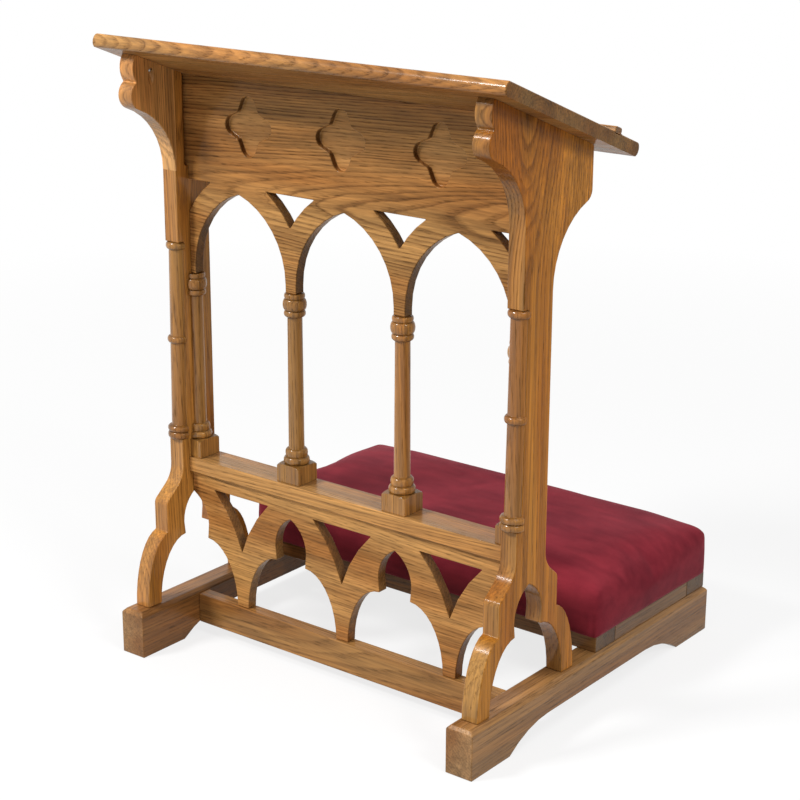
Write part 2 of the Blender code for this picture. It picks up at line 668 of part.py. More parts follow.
def make_colonnettes():
    """A whole colonnette under each springer, and a split one against each standard."""
    hole = PIN_RADIUS + CLEARANCE
    depth = PIN_LENGTH + CLEARANCE
    for side, sign in SIDES.items():
        place = Matrix.Translation((sign * BAY / 2, ARCADE_Y, RAIL_TOP))
        whole = turned_mesh(colonnette_profile(), LATHE_STEPS, PLINTH_WIDTH)
        smooth(add_object(side + "_colonnette", whole, oak, place))
        foot = [(hole, -depth), (hole, PIN_LENGTH)]
        cut(turned_mesh(foot, LATHE_STEPS), "middle_rail", place=place)
        head = [(hole, COLUMN_HEIGHT - PIN_LENGTH), (hole, COLUMN_HEIGHT + depth)]
        cut(turned_mesh(head, LATHE_STEPS), "arcade_panel", place=place)
        unpinned = [point for point in colonnette_profile() if point[0] > PIN_RADIUS]
        half = turned_mesh(unpinned, LATHE_STEPS, PLINTH_WIDTH)
        split(half, (-sign * CLEARANCE, 0, 0), (sign, 0, 0))
        wall = Matrix.Translation((sign * INSIDE_WIDTH / 2, ARCADE_Y, RAIL_TOP))
        smooth(add_object(side + "_half_colonnette", half, oak, wall))


def quatrefoil(middle):
    """Four tapering lobes with round tips, whose straight sides meet in a small hollow on each diagonal."""
    tip, reach, hollow = LOBE_TIP_RADIUS, LOBE_TIP_REACH, LOBE_HOLLOW
    # A side is the line that touches the tip's circle and, from its other side, the hollow's circle
    corner = (LOBE_SHOULDER + hollow) / math.sqrt(2)
    apart = math.hypot(corner - reach, corner)
    touch = math.atan2(corner, corner - reach) - math.acos((tip + hollow) / apart)
    points = []
    for quarter in range(4):
        turn = quarter * math.pi / 2
        lobe = arc((reach, 0), tip, -touch, touch)
        bay = arc((corner, corner), hollow, math.pi + touch, 3 * math.pi / 2 - touch)
        for u, v in lobe + bay:
            points.append((middle[0] + u * math.cos(turn) - v * math.sin(turn),
                           middle[1] + u * math.sin(turn) + v * math.cos(turn)))
    return points


def make_panel():
    """Frieze and arcade in one board: arches on the capitals, pierced spandrels and sunk quatrefoils."""
    end = INSIDE_WIDTH / 2 - CLEARANCE
    tongue = end + GROOVE_DEPTH
    shoulder = DESK_EAVE - GROOVE_STOP + CLEARANCE
    top = DESK_EAVE + PANEL_THICKNESS
    base = COLUMN_TOP + CLEARANCE
    rib = ARCH_RADIUS + RIB_WIDTH
    apex_angle = math.acos(ARCH_OFFSET / ARCH_RADIUS)
    arch_side = [(ARCH_HALF, base)] + arc((-ARCH_OFFSET, SPRING_HEIGHT), ARCH_RADIUS, 0, apex_angle)
    rib_foot = math.acos((BAY / 2 + ARCH_OFFSET) / rib)
    rib_top = math.asin((SPANDREL_TOP - SPRING_HEIGHT) / rib)
    rib_side = arc((-ARCH_OFFSET, SPRING_HEIGHT), rib, rib_foot, rib_top)
    outline = []
    for k in range(BAYS):
        axis = (k + 0.5 - BAYS / 2) * BAY
        outline += moved(arch_side, axis, flip=-1)[:-1] + moved(arch_side, axis)[::-1]
    last = (BAYS - 1) / 2 * BAY
    right_end = moved(rib_side, last)
    right_end[0] = (end, right_end[0][1])
    right_end = [(end, base)] + right_end
    right_end += [(end, SPANDREL_TOP), (end, shoulder), (tongue, shoulder), (tongue, top)]
    outline += right_end + moved(right_end, flip=-1)[::-1]
    spandrels = []
    for k in range(1, BAYS):
        axis = (k - BAYS / 2) * BAY
        left_rib = moved(rib_side, axis - BAY / 2)
        right_rib = moved(rib_side, axis + BAY / 2, flip=-1)
        spandrels.append(left_rib[::-1] + right_rib[1:])
    bm = sawn_mesh(outline, "Y", PANEL_FRONT, PANEL_BACK, spandrels)
    for vertex in bm.verts:
        if vertex.co.z > DESK_EAVE:
            vertex.co.z = desk_underside(vertex.co.y) - CLEARANCE
    add_object("arcade_panel", bm, oak)
    for k in range(BAYS):
        across = (k - (BAYS - 1) / 2) * QUATREFOIL_PITCH + QUATREFOIL_SHIFT
        sunk = quatrefoil((across, DESK_EAVE - QUATREFOIL_DROP))
        recess = sawn_mesh(sunk, "Y", PANEL_FRONT - QUATREFOIL_DEPTH, PANEL_FRONT + QUATREFOIL_DEPTH)
        cut(recess, "arcade_panel")


def desk_point(down, up):
    """Y and Z on the desk: down the slope from its square front edge, and up from the underside."""
    front = ARCADE_Y - DESK_FRONT - DESK_THICKNESS * math.sin(DESK_TILT)
    point = Vector((0, front, desk_underside(front))) + DESK_DOWN * down + DESK_NORMAL * up
    return (point.y, point.z)


def make_desk():
    """Sloping desk top with a rounded nose at both long edges, and a book ledge that is let into it."""
    lower = DESK_LENGTH - LEDGE_INSET
    upper = lower - LEDGE_WIDTH
    seat = DESK_THICKNESS - LEDGE_HOUSING
    near, far = lower + CLEARANCE, upper - CLEARANCE
    trench = [(near, DESK_THICKNESS), (near, seat), (far, seat), (far, DESK_THICKNESS)]
    nose = ellipse((0, DESK_THICKNESS / 2), DESK_NOSE, DESK_THICKNESS / 2, -math.pi / 2, math.pi / 2)
    section = [(DESK_LENGTH + u, v) for u, v in nose] + trench + [(-u, v) for u, v in nose][::-1]
    outline = [desk_point(u, v) for u, v in section]
    add_object("desk_top", sawn_mesh(outline, "X", -DESK_HALF, DESK_HALF), oak)
    foot = seat + CLEARANCE
    high = DESK_THICKNESS + LEDGE_HEIGHT
    strip = [(upper, foot), (lower, foot)]
    strip += arc((lower - LEDGE_ROUND, high - LEDGE_ROUND), LEDGE_ROUND, 0, math.pi / 2)
    strip += arc((upper + LEDGE_ROUND, high - LEDGE_ROUND), LEDGE_ROUND, math.pi / 2, math.pi)
    outline = [desk_point(u, v) for u, v in strip]
    add_object("book_ledge", sawn_mesh(outline, "X", -DESK_HALF, DESK_HALF), oak)


def make_kneeler_frame():
    """Four rails on the runners: the long ones run right across, and the short ones fit between them."""
    low, high = RUNNER_HEIGHT + CLEARANCE, KNEELER_TOP
    wide = KNEELER_RAIL_WIDTH
    rows = {"front": KNEELER_FRONT, "rear": KNEELER_BACK - wide}
    for row, start in rows.items():
        bm = block_mesh((-KNEELER_HALF, start, low), (KNEELER_HALF, start + wide, high))
        add_object(f"kneeler_{row}_rail", bm, oak)
    near = KNEELER_FRONT + wide + CLEARANCE
    far = KNEELER_BACK - wide - CLEARANCE
    for side, sign in SIDES.items():
        across = sorted((sign * (KNEELER_HALF - wide), sign * KNEELER_HALF))
        bm = block_mesh((across[0], near, low), (across[1], far, high))
        add_object(f"kneeler_{side}_rail", bm, oak)
        for row, joint in {"front": near, "rear": far}.items():
            place = Matrix.Translation((sign * (KNEELER_HALF - wide / 2), joint, (low + high) / 2))
            turn = Matrix.Rotation(math.pi / 2, 4, "X")
            dowel(f"kneeler_dowel_{side}_{row}", place @ turn, DOWEL_RADIUS, DOWEL_BITE,
                  f"kneeler_{side}_rail", f"kneeler_{row}_rail")
        for row, start in rows.items():
            spread = Matrix.Translation((sign * PAD_SCREW_SPREAD, start + wide / 2, high - PAD_SCREW_GRIP))
            reach = PAD_SCREW_GRIP + BOARD_BOTTOM - high + PAD_SCREW_BITE
            screw(f"pad_screw_{side}_{row}", spread, reach, SHANK_RADIUS, HEAD_RADIUS, KNEELER_RAIL_HEIGHT,
                  f"kneeler_{row}_rail", "kneeler_board")
            runner_screw(f"frame_screw_{side}_{row}", sign, start + wide / 2, FRAME_SCREW_BITE,
                         side + "_runner", f"kneeler_{row}_rail")


def pad_loop(inset, radius):
    """Rounded rectangle in X and Y, this far inside the widest outline of the pad."""
    reach = KNEELER_HALF + PAD_OVERHANG - inset - radius
    near = KNEELER_FRONT - PAD_FRONT_OVERHANG + inset + radius
    far = KNEELER_BACK - inset - radius
    corners = []
    for quarter, centre in enumerate(((reach, far), (-reach, far), (-reach, near), (reach, near))):
        turns = [(quarter + k / PAD_CORNER_CUTS) * math.pi / 2 for k in range(PAD_CORNER_CUTS + 1)]
        corners.append([(centre[0] + radius * math.cos(a), centre[1] + radius * math.sin(a)) for a in turns])
    points = []
    for corner, following in zip(corners, corners[1:] + corners[:1]):
        points += corner
        leave, arrive = Vector(corner[-1]), Vector(following[0])
        points += [tuple(leave.lerp(arrive, k / PAD_SIDE_CUTS)) for k in range(1, PAD_SIDE_CUTS)]
    return points


def pad_rings(skin):
    """Loops of the pad from its tucked-in foot, over the shoulder, to the crown. The skin's thickness sets
    them inwards, so that the same form gives the cover's two faces and the foam."""
    foot = PAD_BOTTOM
    top = PAD_BOTTOM + PAD_HEIGHT - skin
    belly = foot + (PAD_HEIGHT - PAD_SHOULDER) / 2
    rings = [(PAD_TUCK, foot), (PAD_TUCK / 4, foot + PAD_TUCK), (0, belly)]
    for k in range(TORUS_STEPS):
        angle = k / (TORUS_STEPS - 1) * math.pi / 2
        rings.append((PAD_SHOULDER * (1 - math.cos(angle)), top - PAD_SHOULDER * (1 - math.sin(angle))))
    middle = (KNEELER_DEPTH + PAD_FRONT_OVERHANG) / 2 - PAD_CORNER - skin - CLEARANCE
    for k in range(1, PAD_CROWN_CUTS + 1):
        share = k / PAD_CROWN_CUTS
        inset = PAD_SHOULDER + (middle - PAD_SHOULDER) * share
        rings.append((inset, top + PAD_CROWN * math.sin(share * math.pi / 2)))
    return [[(u, v, height) for u, v in pad_loop(inset + skin, PAD_CORNER)] for inset, height in rings]


def lofted_mesh(rings):
    """Closed skin through rings of equally many points, with a flat face over the first and the last."""
    bm = bmesh.new()
    loops = [[bm.verts.new(point) for point in ring] for ring in rings]
    for lower, upper in zip(loops, loops[1:]):
        for k in range(len(lower)):
            bm.faces.new((lower[k - 1], lower[k], upper[k], upper[k - 1]))
    bm.faces.new(loops[0][::-1])
    bm.faces.new(loops[-1])
    bmesh.ops.recalc_face_normals(bm, faces=bm.faces)
    return bm


def make_pad():
    """Board and foam under one velvet cover, whose hem is turned under the board and left open inside it."""
    lining = COVER_THICKNESS + CLEARANCE
    board = pad_loop(lining + PAD_TUCK, PAD_CORNER)
    add_object("kneeler_board", sawn_mesh(board, "Z", BOARD_BOTTOM, BOARD_TOP), plywood)
    foam_foot = BOARD_TOP + CLEARANCE
    rings = [[(u, v, foam_foot) for u, v in board]]
    rings += [ring for ring in pad_rings(lining) if ring[0][2] > foam_foot]
    smooth(add_object("kneeler_foam", lofted_mesh(rings), foam))
    hem_top = PAD_BOTTOM + HEM_THICKNESS
    hem = pad_loop(HEM_WIDTH, PAD_CORNER)
    inner = pad_rings(COVER_THICKNESS)
    seat = [(u, v, hem_top) for u, v, height in inner[0]]
    chain = [seat] + [ring for ring in inner if ring[0][2] > hem_top]
    chain = chain[::-1] + [[(u, v, hem_top) for u, v in hem], [(u, v, PAD_BOTTOM) for u, v in hem]]
    smooth(add_object("kneeler_cover", lofted_mesh(chain + pad_rings(0)), velvet))


def dowel(name, place, radius, bite, *pieces):
    """Plain dowel whose middle is at the joint, and its hole in both pieces."""
    add_object(name, turned_mesh([(radius, -bite), (radius, bite)], SCREW_STEPS), beech, place)
    hole = radius + CLEARANCE
    depth = bite + CLEARANCE
    cut(turned_mesh([(hole, -depth), (hole, depth)], SCREW_STEPS), *pieces, place=place)


def screw(name, place, reach, shank, head, below, *pieces):
    """Screw with its head under a seat at the place's origin and its shank above, and its stepped hole."""
    profile = [(head, -HEAD_HEIGHT), (head, -CLEARANCE), (shank, -CLEARANCE), (shank, reach)]
    add_object(name, turned_mesh(profile, SCREW_STEPS), steel, place)
    wide, narrow = head + CLEARANCE, shank + CLEARANCE
    hole = [(wide, -below), (wide, 0), (narrow, 0), (narrow, reach + CLEARANCE)]
    cut(turned_mesh(hole, SCREW_STEPS), *pieces, place=place)


def runner_screw(name, sign, y, bite, runner, piece):
    """Screw from a counterbore in the underside of a runner up into what stands on the runner."""
    place = Matrix.Translation((sign * STANDARD_X, y, RUNNER_HEIGHT - RUNNER_GRIP))
    screw(name, place, RUNNER_GRIP + bite, SHANK_RADIUS, HEAD_RADIUS, RUNNER_HEIGHT, runner, piece)


def make_leg_screws(side):
    """A screw up through the runner into each leg."""
    leg = (LEG_SPREAD + OPENING_BASE) / 2
    for row, shift in {"front": -1, "rear": 1}.items():
        runner_screw(f"leg_screw_{side}_{row}", SIDES[side], LEG_AXIS_Y + shift * leg, LEG_SCREW_BITE,
                     side + "_runner", side + "_standard")


def make_desk_screws(side):
    """Two screws in slanting pockets on the inside of each standard hold the desk down."""
    sign = SIDES[side]
    places = {
        "front": (POST_FRONT - FRONT_POCKET, "_bracket"),
        "rear": (POST_BACK + REAR_POCKET, "_standard"),
    }
    for row, (y, piece) in places.items():
        seat = desk_underside(y) - POCKET_COVER
        inside = sign * (INSIDE_WIDTH / 2 + POCKET_CENTRE)
        place = Matrix.Translation((inside, y, seat)) @ Matrix.Rotation(sign * POCKET_TILT, 4, "Y")
        reach = (POCKET_COVER + POCKET_SCREW_BITE) / math.cos(POCKET_TILT)
        profile = [
            (POCKET_HEAD_RADIUS, -HEAD_HEIGHT),
            (POCKET_HEAD_RADIUS, -CLEARANCE),
            (POCKET_SHANK_RADIUS, -CLEARANCE),
            (POCKET_SHANK_RADIUS, reach),
        ]
        add_object(f"desk_screw_{side}_{row}", turned_mesh(profile, SCREW_STEPS), steel, place)
        narrow = POCKET_SHANK_RADIUS + CLEARANCE
        length = (POCKET_CENTRE + POCKET_RADIUS) / math.tan(POCKET_TILT) * 2
        hole = [(POCKET_RADIUS, -length), (POCKET_RADIUS, 0), (narrow, 0), (narrow, reach + CLEARANCE)]
        cut(turned_mesh(hole, LATHE_STEPS), side + piece, "desk_top", place=place)


for leftover in list(bpy.data.objects):
    bpy.data.objects.remove(leftover, do_unlink=True)

assembly = bpy.data.objects.new("prie_dieu", None)
bpy.context.scene.collection.objects.link(assembly)
oak = material("honey_oak", (0.40, 0.20, 0.075), 0.38)
plywood = material("plywood", (0.55, 0.40, 0.24), 0.7)
foam = material("foam", (0.80, 0.74, 0.52), 0.95)
velvet = material("crimson_velvet", (0.20, 0.022, 0.030), 0.85)
beech = material("beech_dowel", (0.62, 0.45, 0.28), 0.6)
steel = material("zinc_steel", (0.55, 0.55, 0.53), 0.4, 1.0)

for end_side in SIDES:
    make_runner(end_side)
    make_standard(end_side)
    make_bracket(end_side)
    make_half_column(end_side)
make_stretcher()
make_rail()
make_tracery()
make_colonnettes()
make_panel()
make_desk()
make_kneeler_frame()
make_pad()
for end_side in SIDES:
    make_leg_screws(end_side)
    make_desk_screws(end_side)
make_cuts()
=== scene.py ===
# %% [markdown]
# # A Gothic oak prie-dieu with a velvet kneeling pad
# The solids of the kneeler come in first and stay where they are. On top of them this lesson builds what
# the eye sees: boards with softened edges, turned columns, a stuffed pad, lacquered oak and crimson velvet.

# %% Load the solids
import json
import math

import bmesh
import bpy
from mathutils import Matrix, Vector

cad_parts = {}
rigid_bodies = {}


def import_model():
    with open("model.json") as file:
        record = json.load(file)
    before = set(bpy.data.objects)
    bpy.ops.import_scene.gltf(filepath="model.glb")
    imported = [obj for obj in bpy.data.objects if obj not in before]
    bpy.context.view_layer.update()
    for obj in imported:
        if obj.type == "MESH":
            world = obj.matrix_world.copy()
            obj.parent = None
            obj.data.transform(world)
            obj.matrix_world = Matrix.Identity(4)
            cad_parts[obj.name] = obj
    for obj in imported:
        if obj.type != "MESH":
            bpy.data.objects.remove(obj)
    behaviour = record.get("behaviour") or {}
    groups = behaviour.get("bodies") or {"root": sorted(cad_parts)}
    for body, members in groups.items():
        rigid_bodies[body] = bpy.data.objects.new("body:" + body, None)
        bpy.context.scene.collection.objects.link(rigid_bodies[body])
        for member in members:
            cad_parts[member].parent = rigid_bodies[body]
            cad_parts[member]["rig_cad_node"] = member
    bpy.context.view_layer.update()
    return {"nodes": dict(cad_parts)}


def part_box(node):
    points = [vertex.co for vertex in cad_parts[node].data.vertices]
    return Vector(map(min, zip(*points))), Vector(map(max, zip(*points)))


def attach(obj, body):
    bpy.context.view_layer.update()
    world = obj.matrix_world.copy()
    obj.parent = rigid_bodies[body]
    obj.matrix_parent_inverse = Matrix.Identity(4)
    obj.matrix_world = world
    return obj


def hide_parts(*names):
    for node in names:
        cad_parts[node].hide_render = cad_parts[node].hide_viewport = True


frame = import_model()

# %% [markdown]
# ## Camera
# The picture was taken from the front right, a little above the desk, with a long lens. The place, the turn
# and the lens below were worked out from the straight edges of the woodwork. Building the turn from three
# plain rotations (round the room, down, and a trace of roll) is easier to read than one set of Euler angles.

# %% Camera
CAMERA_PLACE = (1.44016, -1.89243, 1.10124)
CAMERA_YAW, CAMERA_DOWN, CAMERA_ROLL = math.radians(37.903), math.radians(17.801), math.radians(0.22)
LENS_MM, SENSOR_MM = 87.1, 36

turn = (
    Matrix.Rotation(CAMERA_YAW, 3, "Z")
    @ Matrix.Rotation(math.pi / 2 - CAMERA_DOWN, 3, "X")
    @ Matrix.Rotation(CAMERA_ROLL, 3, "Z")
)
bpy.ops.object.camera_add(location=CAMERA_PLACE, rotation=turn.to_euler())
camera = bpy.context.object
camera.data.lens = LENS_MM
camera.data.sensor_width = SENSOR_MM
bpy.context.scene.camera = camera
bpy.context.scene.view_settings.view_transform = "Standard"
print("camera at", CAMERA_PLACE)

# %% [markdown]
# ## Building node trees
# Every finish below is a small tree of shader nodes. One helper adds a node, sets its options and fills or
# links its inputs, so that the trees read from top to bottom like a recipe. The others stand for the nodes
# that come up again and again: sums, stretched coordinates, noise, blended colours and ranges.


# %% Node helpers
def fill(tree, target, inputs):
    """Links sockets to a node's inputs and writes plain values into the others."""
    for key, value in inputs.items():
        if isinstance(value, bpy.types.NodeSocket):
            tree.links.new(value, target.inputs[key])
        else:
            target.inputs[key].default_value = value


def node(tree, kind, inputs=None, **options):
    """Adds a shader node, sets its options and fills its inputs."""
    made = tree.nodes.new("ShaderNode" + kind)
    for name, value in options.items():
        setattr(made, name, value)
    fill(tree, made, inputs or {})
    return made


def sum_up(tree, operation, *values):
    """Output of a Math node that works on the values."""
    return node(tree, "Math", dict(enumerate(values)), operation=operation).outputs[0]


def product(tree, first, *others):
    """All the values multiplied, one after the other."""
    for other in others:
        first = sum_up(tree, "MULTIPLY", first, other)
    return first


def scaled(tree, vector, factors):
    """The vector with each of its axes stretched by its own factor."""
    return node(tree, "VectorMath", {0: vector, 1: factors}, operation="MULTIPLY").outputs[0]


def noise(tree, spot, stretch, detail, scale=1):
    """Noise texture on coordinates that are stretched first."""
    return node(tree, "TexNoise", {"Vector": scaled(tree, spot, stretch), "Scale": scale, "Detail": detail})


def blended(tree, mode, share, first, second):
    """Colour of a Mix node."""
    mix = node(tree, "Mix", {0: share, 6: first, 7: second}, data_type="RGBA", blend_type=mode)
    return mix.outputs[2]


def ranged(tree, value, low, high, to_low=0.0, to_high=1.0, **options):
    """The value carried over from one range to another and kept inside it."""
    inputs = {0: value, 1: low, 2: high, 3: to_low, 4: to_high}
    return node(tree, "MapRange", inputs, **options).outputs[0]


# %% [markdown]
# ## Studio
# A sheet of white paper carries the object and fades into a white room. The room is white to the camera and
# in reflections, and dimmer as a light, so that the wood keeps its colour. The paper glows white in the same
# way, a little less near the object, where it takes the shadow, and it is a middle grey to the light that
# bounces off it. Two soft boxes, at the front left and at the right, leave small bright spots on the turned
# rings, and a third fills in from above.

# %% Room
ROOM_LIGHT, FULL_WHITE = 0.34, 1.0
WHITE = (1, 1, 1, 1)


def seen_directly(tree):
    """Mask of the rays that come from the camera, from a reflection or through glass."""
    path = node(tree, "LightPath")
    seen = sum_up(tree, "MAXIMUM", path.outputs["Is Camera Ray"], path.outputs["Is Glossy Ray"])
    return sum_up(tree, "MAXIMUM", seen, path.outputs["Is Transmission Ray"])


room = bpy.context.scene.world or bpy.data.worlds.new("room")
bpy.context.scene.world = room
room.use_nodes = True
tree = room.node_tree
tree.nodes.clear()
dim = node(tree, "Background", {"Color": WHITE, "Strength": ROOM_LIGHT})
white = node(tree, "Background", {"Color": WHITE, "Strength": FULL_WHITE})
shown = node(tree, "MixShader", {0: seen_directly(tree), 1: dim.outputs[0], 2: white.outputs[0]})
node(tree, "OutputWorld", {"Surface": shown.outputs[0]})
print("room light", ROOM_LIGHT)

# %% Paper on the floor
PAPER_WIDTH = 40.0
NEAR_GLOW, FAR_GLOW = 0.78, 1.0
SHADOW_REACH, PAPER_END = 0.8, 2.4
PAPER_WHITE, PAPER_BOUNCE = 0.88, 0.50

bpy.ops.object.select_all(action="DESELECT")
bpy.ops.mesh.primitive_plane_add(size=PAPER_WIDTH, location=(0, 0, 0))
paper = bpy.context.object
paper.name = "paper"
finish = bpy.data.materials.new("white_paper")
finish.use_nodes = True
tree = finish.node_tree
tree.nodes.clear()
bounced = node(tree, "LightPath").outputs["Is Diffuse Ray"]
matt = node(tree, "BsdfDiffuse", {"Color": ranged(tree, bounced, 0, 1, PAPER_WHITE, PAPER_BOUNCE)})
glow = node(tree, "Emission", {"Color": WHITE, "Strength": FULL_WHITE})
spot = node(tree, "VectorMath", {0: node(tree, "TexCoord").outputs["Object"]}, operation="LENGTH")
fade = ranged(tree, spot.outputs["Value"], SHADOW_REACH, PAPER_END, NEAR_GLOW, FAR_GLOW)
share = product(tree, seen_directly(tree), fade)
mix = node(tree, "MixShader", {0: share, 1: matt.outputs[0], 2: glow.outputs[0]})
node(tree, "OutputMaterial", {"Surface": mix.outputs[0]})
paper.data.materials.append(finish)
print("paper", PAPER_WIDTH, "m wide")

# %% Soft boxes
# Each row is a lamp: its place, the point it looks at, its width in metres and its power in watts.
SOFT_BOXES = {
    "key_box": ((-1.4, -2.5, 2.9), (0, 0, 0.4), 0.75, 114),
    "top_box": ((0.9, -0.2, 3.1), (0, 0, 0.3), 1.6, 27),
    "side_box": ((2.5, -0.8, 2.4), (0, 0, 0.4), 0.7, 34),
}
for name, (place, aim, width, power) in SOFT_BOXES.items():
    look = (Vector(aim) - Vector(place)).to_track_quat("-Z", "Y")
    bpy.ops.object.light_add(type="AREA", location=place, rotation=look.to_euler())
    lamp = bpy.context.object
    lamp.name = name
    lamp.data.size = width
    lamp.data.energy = power
print("lamps:", ", ".join(SOFT_BOXES))

# %% [markdown]
# ## Oak
# Flat-sawn oak shows growth rings: a porous dark line each spring, then paler summer wood. The rings are
# tubes round the pith, so the surest way to get grain that agrees on the face, the edge and the end of a
# board is to measure each point's distance from a pith line and colour it by ring. It is one node group, so
# that every board can have its own cut from the log.

# %% Oak grain group
grain = bpy.data.node_groups.new("oak_grain", "ShaderNodeTree")
for name, kind in {
    "Vector": "NodeSocketVector", "End": "NodeSocketFloat", "End Shade": "NodeSocketFloat",
    "Ring": "NodeSocketFloat", "Contrast": "NodeSocketFloat", "Pale": "NodeSocketColor",
    "Red": "NodeSocketColor", "Dark": "NodeSocketColor",
}.items():
    grain.interface.new_socket(name, in_out="INPUT", socket_type=kind)
for name, kind in {
    "Color": "NodeSocketColor", "Roughness": "NodeSocketFloat",
    "Coat": "NodeSocketFloat", "Height": "NodeSocketFloat",
}.items():
    grain.interface.new_socket(name, in_out="OUTPUT", socket_type=kind)
log = grain.nodes.new("NodeGroupInput")
point = log.outputs["Vector"]
print("oak grain sockets:", len(grain.interface.items_tree))

# %% [markdown]
# ### Growth rings
# A long, lazy noise bends the tubes and a ripple roughens them. Dividing the distance from the pith by the
# width of a ring counts the years. Its fraction runs from spring to winter through a colour ramp, and its
# whole number makes one year stronger than the next. Fat and lean spells come and go over several years.

# %% Growth rings
LAZY_STRETCH, LAZY_SCALE, LAZY_BEND = (0.20, 1, 1), 10, (0, 0.022, 0.022)
RIPPLE_STRETCH, RIPPLE_SCALE, RIPPLE = (0.10, 1, 1), 70, 0.0030
NOISE_MIDDLE = 0.5
CROSSWISE = (0, 1, 1)
LEAN_PACE, LEAN_RINGS = 0.23, 2.0
SPELL_PACE = 0.17
SPRING_TO_WINTER = ((0.0, 0.90), (0.14, 0.78), (0.40, 0.20), (0.84, 0.03), (1.0, 0.90))
# Each range goes from its first two numbers to its last two.
YEAR_STRENGTH = (0, 1, 0.38, 1.0)
SPELL_STRENGTH = (0.32, 0.68, 0.55, 1.15)
END_STRENGTH = (0, 1, 1.0, 0.45)


def ring_noise(depth, pace):
    """Noise that drifts from ring to ring."""
    inputs = {"W": product(grain, depth, pace), "Scale": 1, "Detail": 1}
    return node(grain, "TexNoise", inputs, noise_dimensions="1D").outputs[0]


lazy = noise(grain, point, LAZY_STRETCH, 1, LAZY_SCALE)
middle = (NOISE_MIDDLE, NOISE_MIDDLE, NOISE_MIDDLE)
centred = node(grain, "VectorMath", {0: lazy.outputs["Color"], 1: middle}, operation="SUBTRACT")
bent = node(grain, "VectorMath", {0: point, 1: scaled(grain, centred.outputs[0], LAZY_BEND)})
across = node(grain, "VectorMath", {0: scaled(grain, bent.outputs[0], CROSSWISE)}, operation="LENGTH")
ripple = noise(grain, point, RIPPLE_STRETCH, 2, RIPPLE_SCALE).outputs[0]
wobble = product(grain, sum_up(grain, "SUBTRACT", ripple, NOISE_MIDDLE), RIPPLE)
from_pith = sum_up(grain, "ADD", across.outputs["Value"], wobble)
depth = sum_up(grain, "DIVIDE", from_pith, log.outputs["Ring"])
depth = sum_up(grain, "ADD", depth, product(grain, ring_noise(depth, LEAN_PACE), LEAN_RINGS))
year = node(grain, "TexWhiteNoise", {"W": sum_up(grain, "FLOOR", depth)}, noise_dimensions="1D")
spell = ring_noise(depth, SPELL_PACE)
season = node(grain, "ValToRGB", {0: sum_up(grain, "FRACT", depth)})
ramp = season.color_ramp.elements
for place, level in SPRING_TO_WINTER:
    stop = ramp.new(place)
    stop.color = (level, level, level, 1)
ramp.remove(ramp[0])
ramp.remove(ramp[-1])
spring = season.outputs[0]
ring = product(
    grain, spring,
    ranged(grain, year.outputs["Value"], *YEAR_STRENGTH),
    ranged(grain, spell, *SPELL_STRENGTH),
    ranged(grain, log.outputs["End"], *END_STRENGTH),
    log.outputs["Contrast"],
)
print("ring nodes:", len(grain.nodes))

# %% [markdown]
# ### Fibres and pores
# Between the rings the wood is streaked along its length. Noise that is stretched along the log gives broad
# bands, strands and fine fibres, and short dashes in the spring wood stand for the open pores. They shade the
# colour, roughen the lacquer, thin it a little and set the height for the bump.

# %% Fibres, pores and outputs
# Each streak has its waves per metre along and across the log, and its detail.
STREAKS = {
    "fibre": ((7, 380, 380), 3),
    "strand": ((3, 130, 130), 2),
    "band": ((1.2, 38, 38), 2),
    "dash": ((45, 1000, 1000), 1),
    "patch": ((1.6, 17, 17), 2),
}
DASH_TO_PORE, SPRING_TO_PORE = (0.52, 0.64), (0.05, 0.7, 0.06, 1.0)
PATCH_TO_RED = (0.38, 0.66)
FIBRE_SHADE, STRAND_SHADE = (0.34, 0.66, 0.77, 1.19), (0.33, 0.67, 0.85, 1.14)
BAND_SHADE, SPELL_SHADE = (0.33, 0.67, 0.86, 1.14), (0.30, 0.70, 1.09, 0.86)
PORE_SHADE = (0, 1, 1.0, 0.58)
STRAND_ROUGH, PORE_ROUGH = (0.3, 0.7, 0.25, 0.36), (0, 1, 0, 0.15)
FIBRE_COAT, PORE_COAT = (0.30, 0.70, 0.20, 0.10), (0, 1, 1.0, 0.3)
FIBRE_RISE = 0.5

streak = {name: noise(grain, point, *look).outputs[0] for name, look in STREAKS.items()}
pore = ranged(grain, streak["dash"], *DASH_TO_PORE)
pore = product(grain, pore, ranged(grain, spring, *SPRING_TO_PORE))
reddish = ranged(grain, streak["patch"], *PATCH_TO_RED)
colour = blended(grain, "MIX", reddish, log.outputs["Pale"], log.outputs["Red"])
colour = blended(grain, "MIX", ring, colour, log.outputs["Dark"])
lost = product(grain, log.outputs["End"], sum_up(grain, "SUBTRACT", 1.0, log.outputs["End Shade"]))
shade = product(
    grain,
    ranged(grain, streak["fibre"], *FIBRE_SHADE),
    ranged(grain, streak["strand"], *STRAND_SHADE),
    ranged(grain, streak["band"], *BAND_SHADE),
    ranged(grain, spell, *SPELL_SHADE),
    ranged(grain, pore, *PORE_SHADE),
    sum_up(grain, "SUBTRACT", 1.0, lost),
)
strand_rough = ranged(grain, streak["strand"], *STRAND_ROUGH)
fibre_coat = ranged(grain, streak["fibre"], *FIBRE_COAT)
fill(grain, grain.nodes.new("NodeGroupOutput"), {
    "Color": blended(grain, "MULTIPLY", 1.0, colour, shade),
    "Roughness": sum_up(grain, "ADD", strand_rough, ranged(grain, pore, *PORE_ROUGH)),
    "Coat": product(grain, fibre_coat, ranged(grain, pore, *PORE_COAT)),
    "Height": sum_up(grain, "SUBTRACT", product(grain, streak["fibre"], FIBRE_RISE), pore),
})
print("oak grain:", len(grain.nodes), "nodes")

# %% [markdown]
# ## One cut of oak for each board
# A Mapping node lays the log into the board: it turns the grain along the board's length, tilts it a little,
# which draws the nested arches that joiners call cathedrals, and slides the pith so far behind the face.
# Where the tree swerved, the rings come up through the face of an upright board near its head.

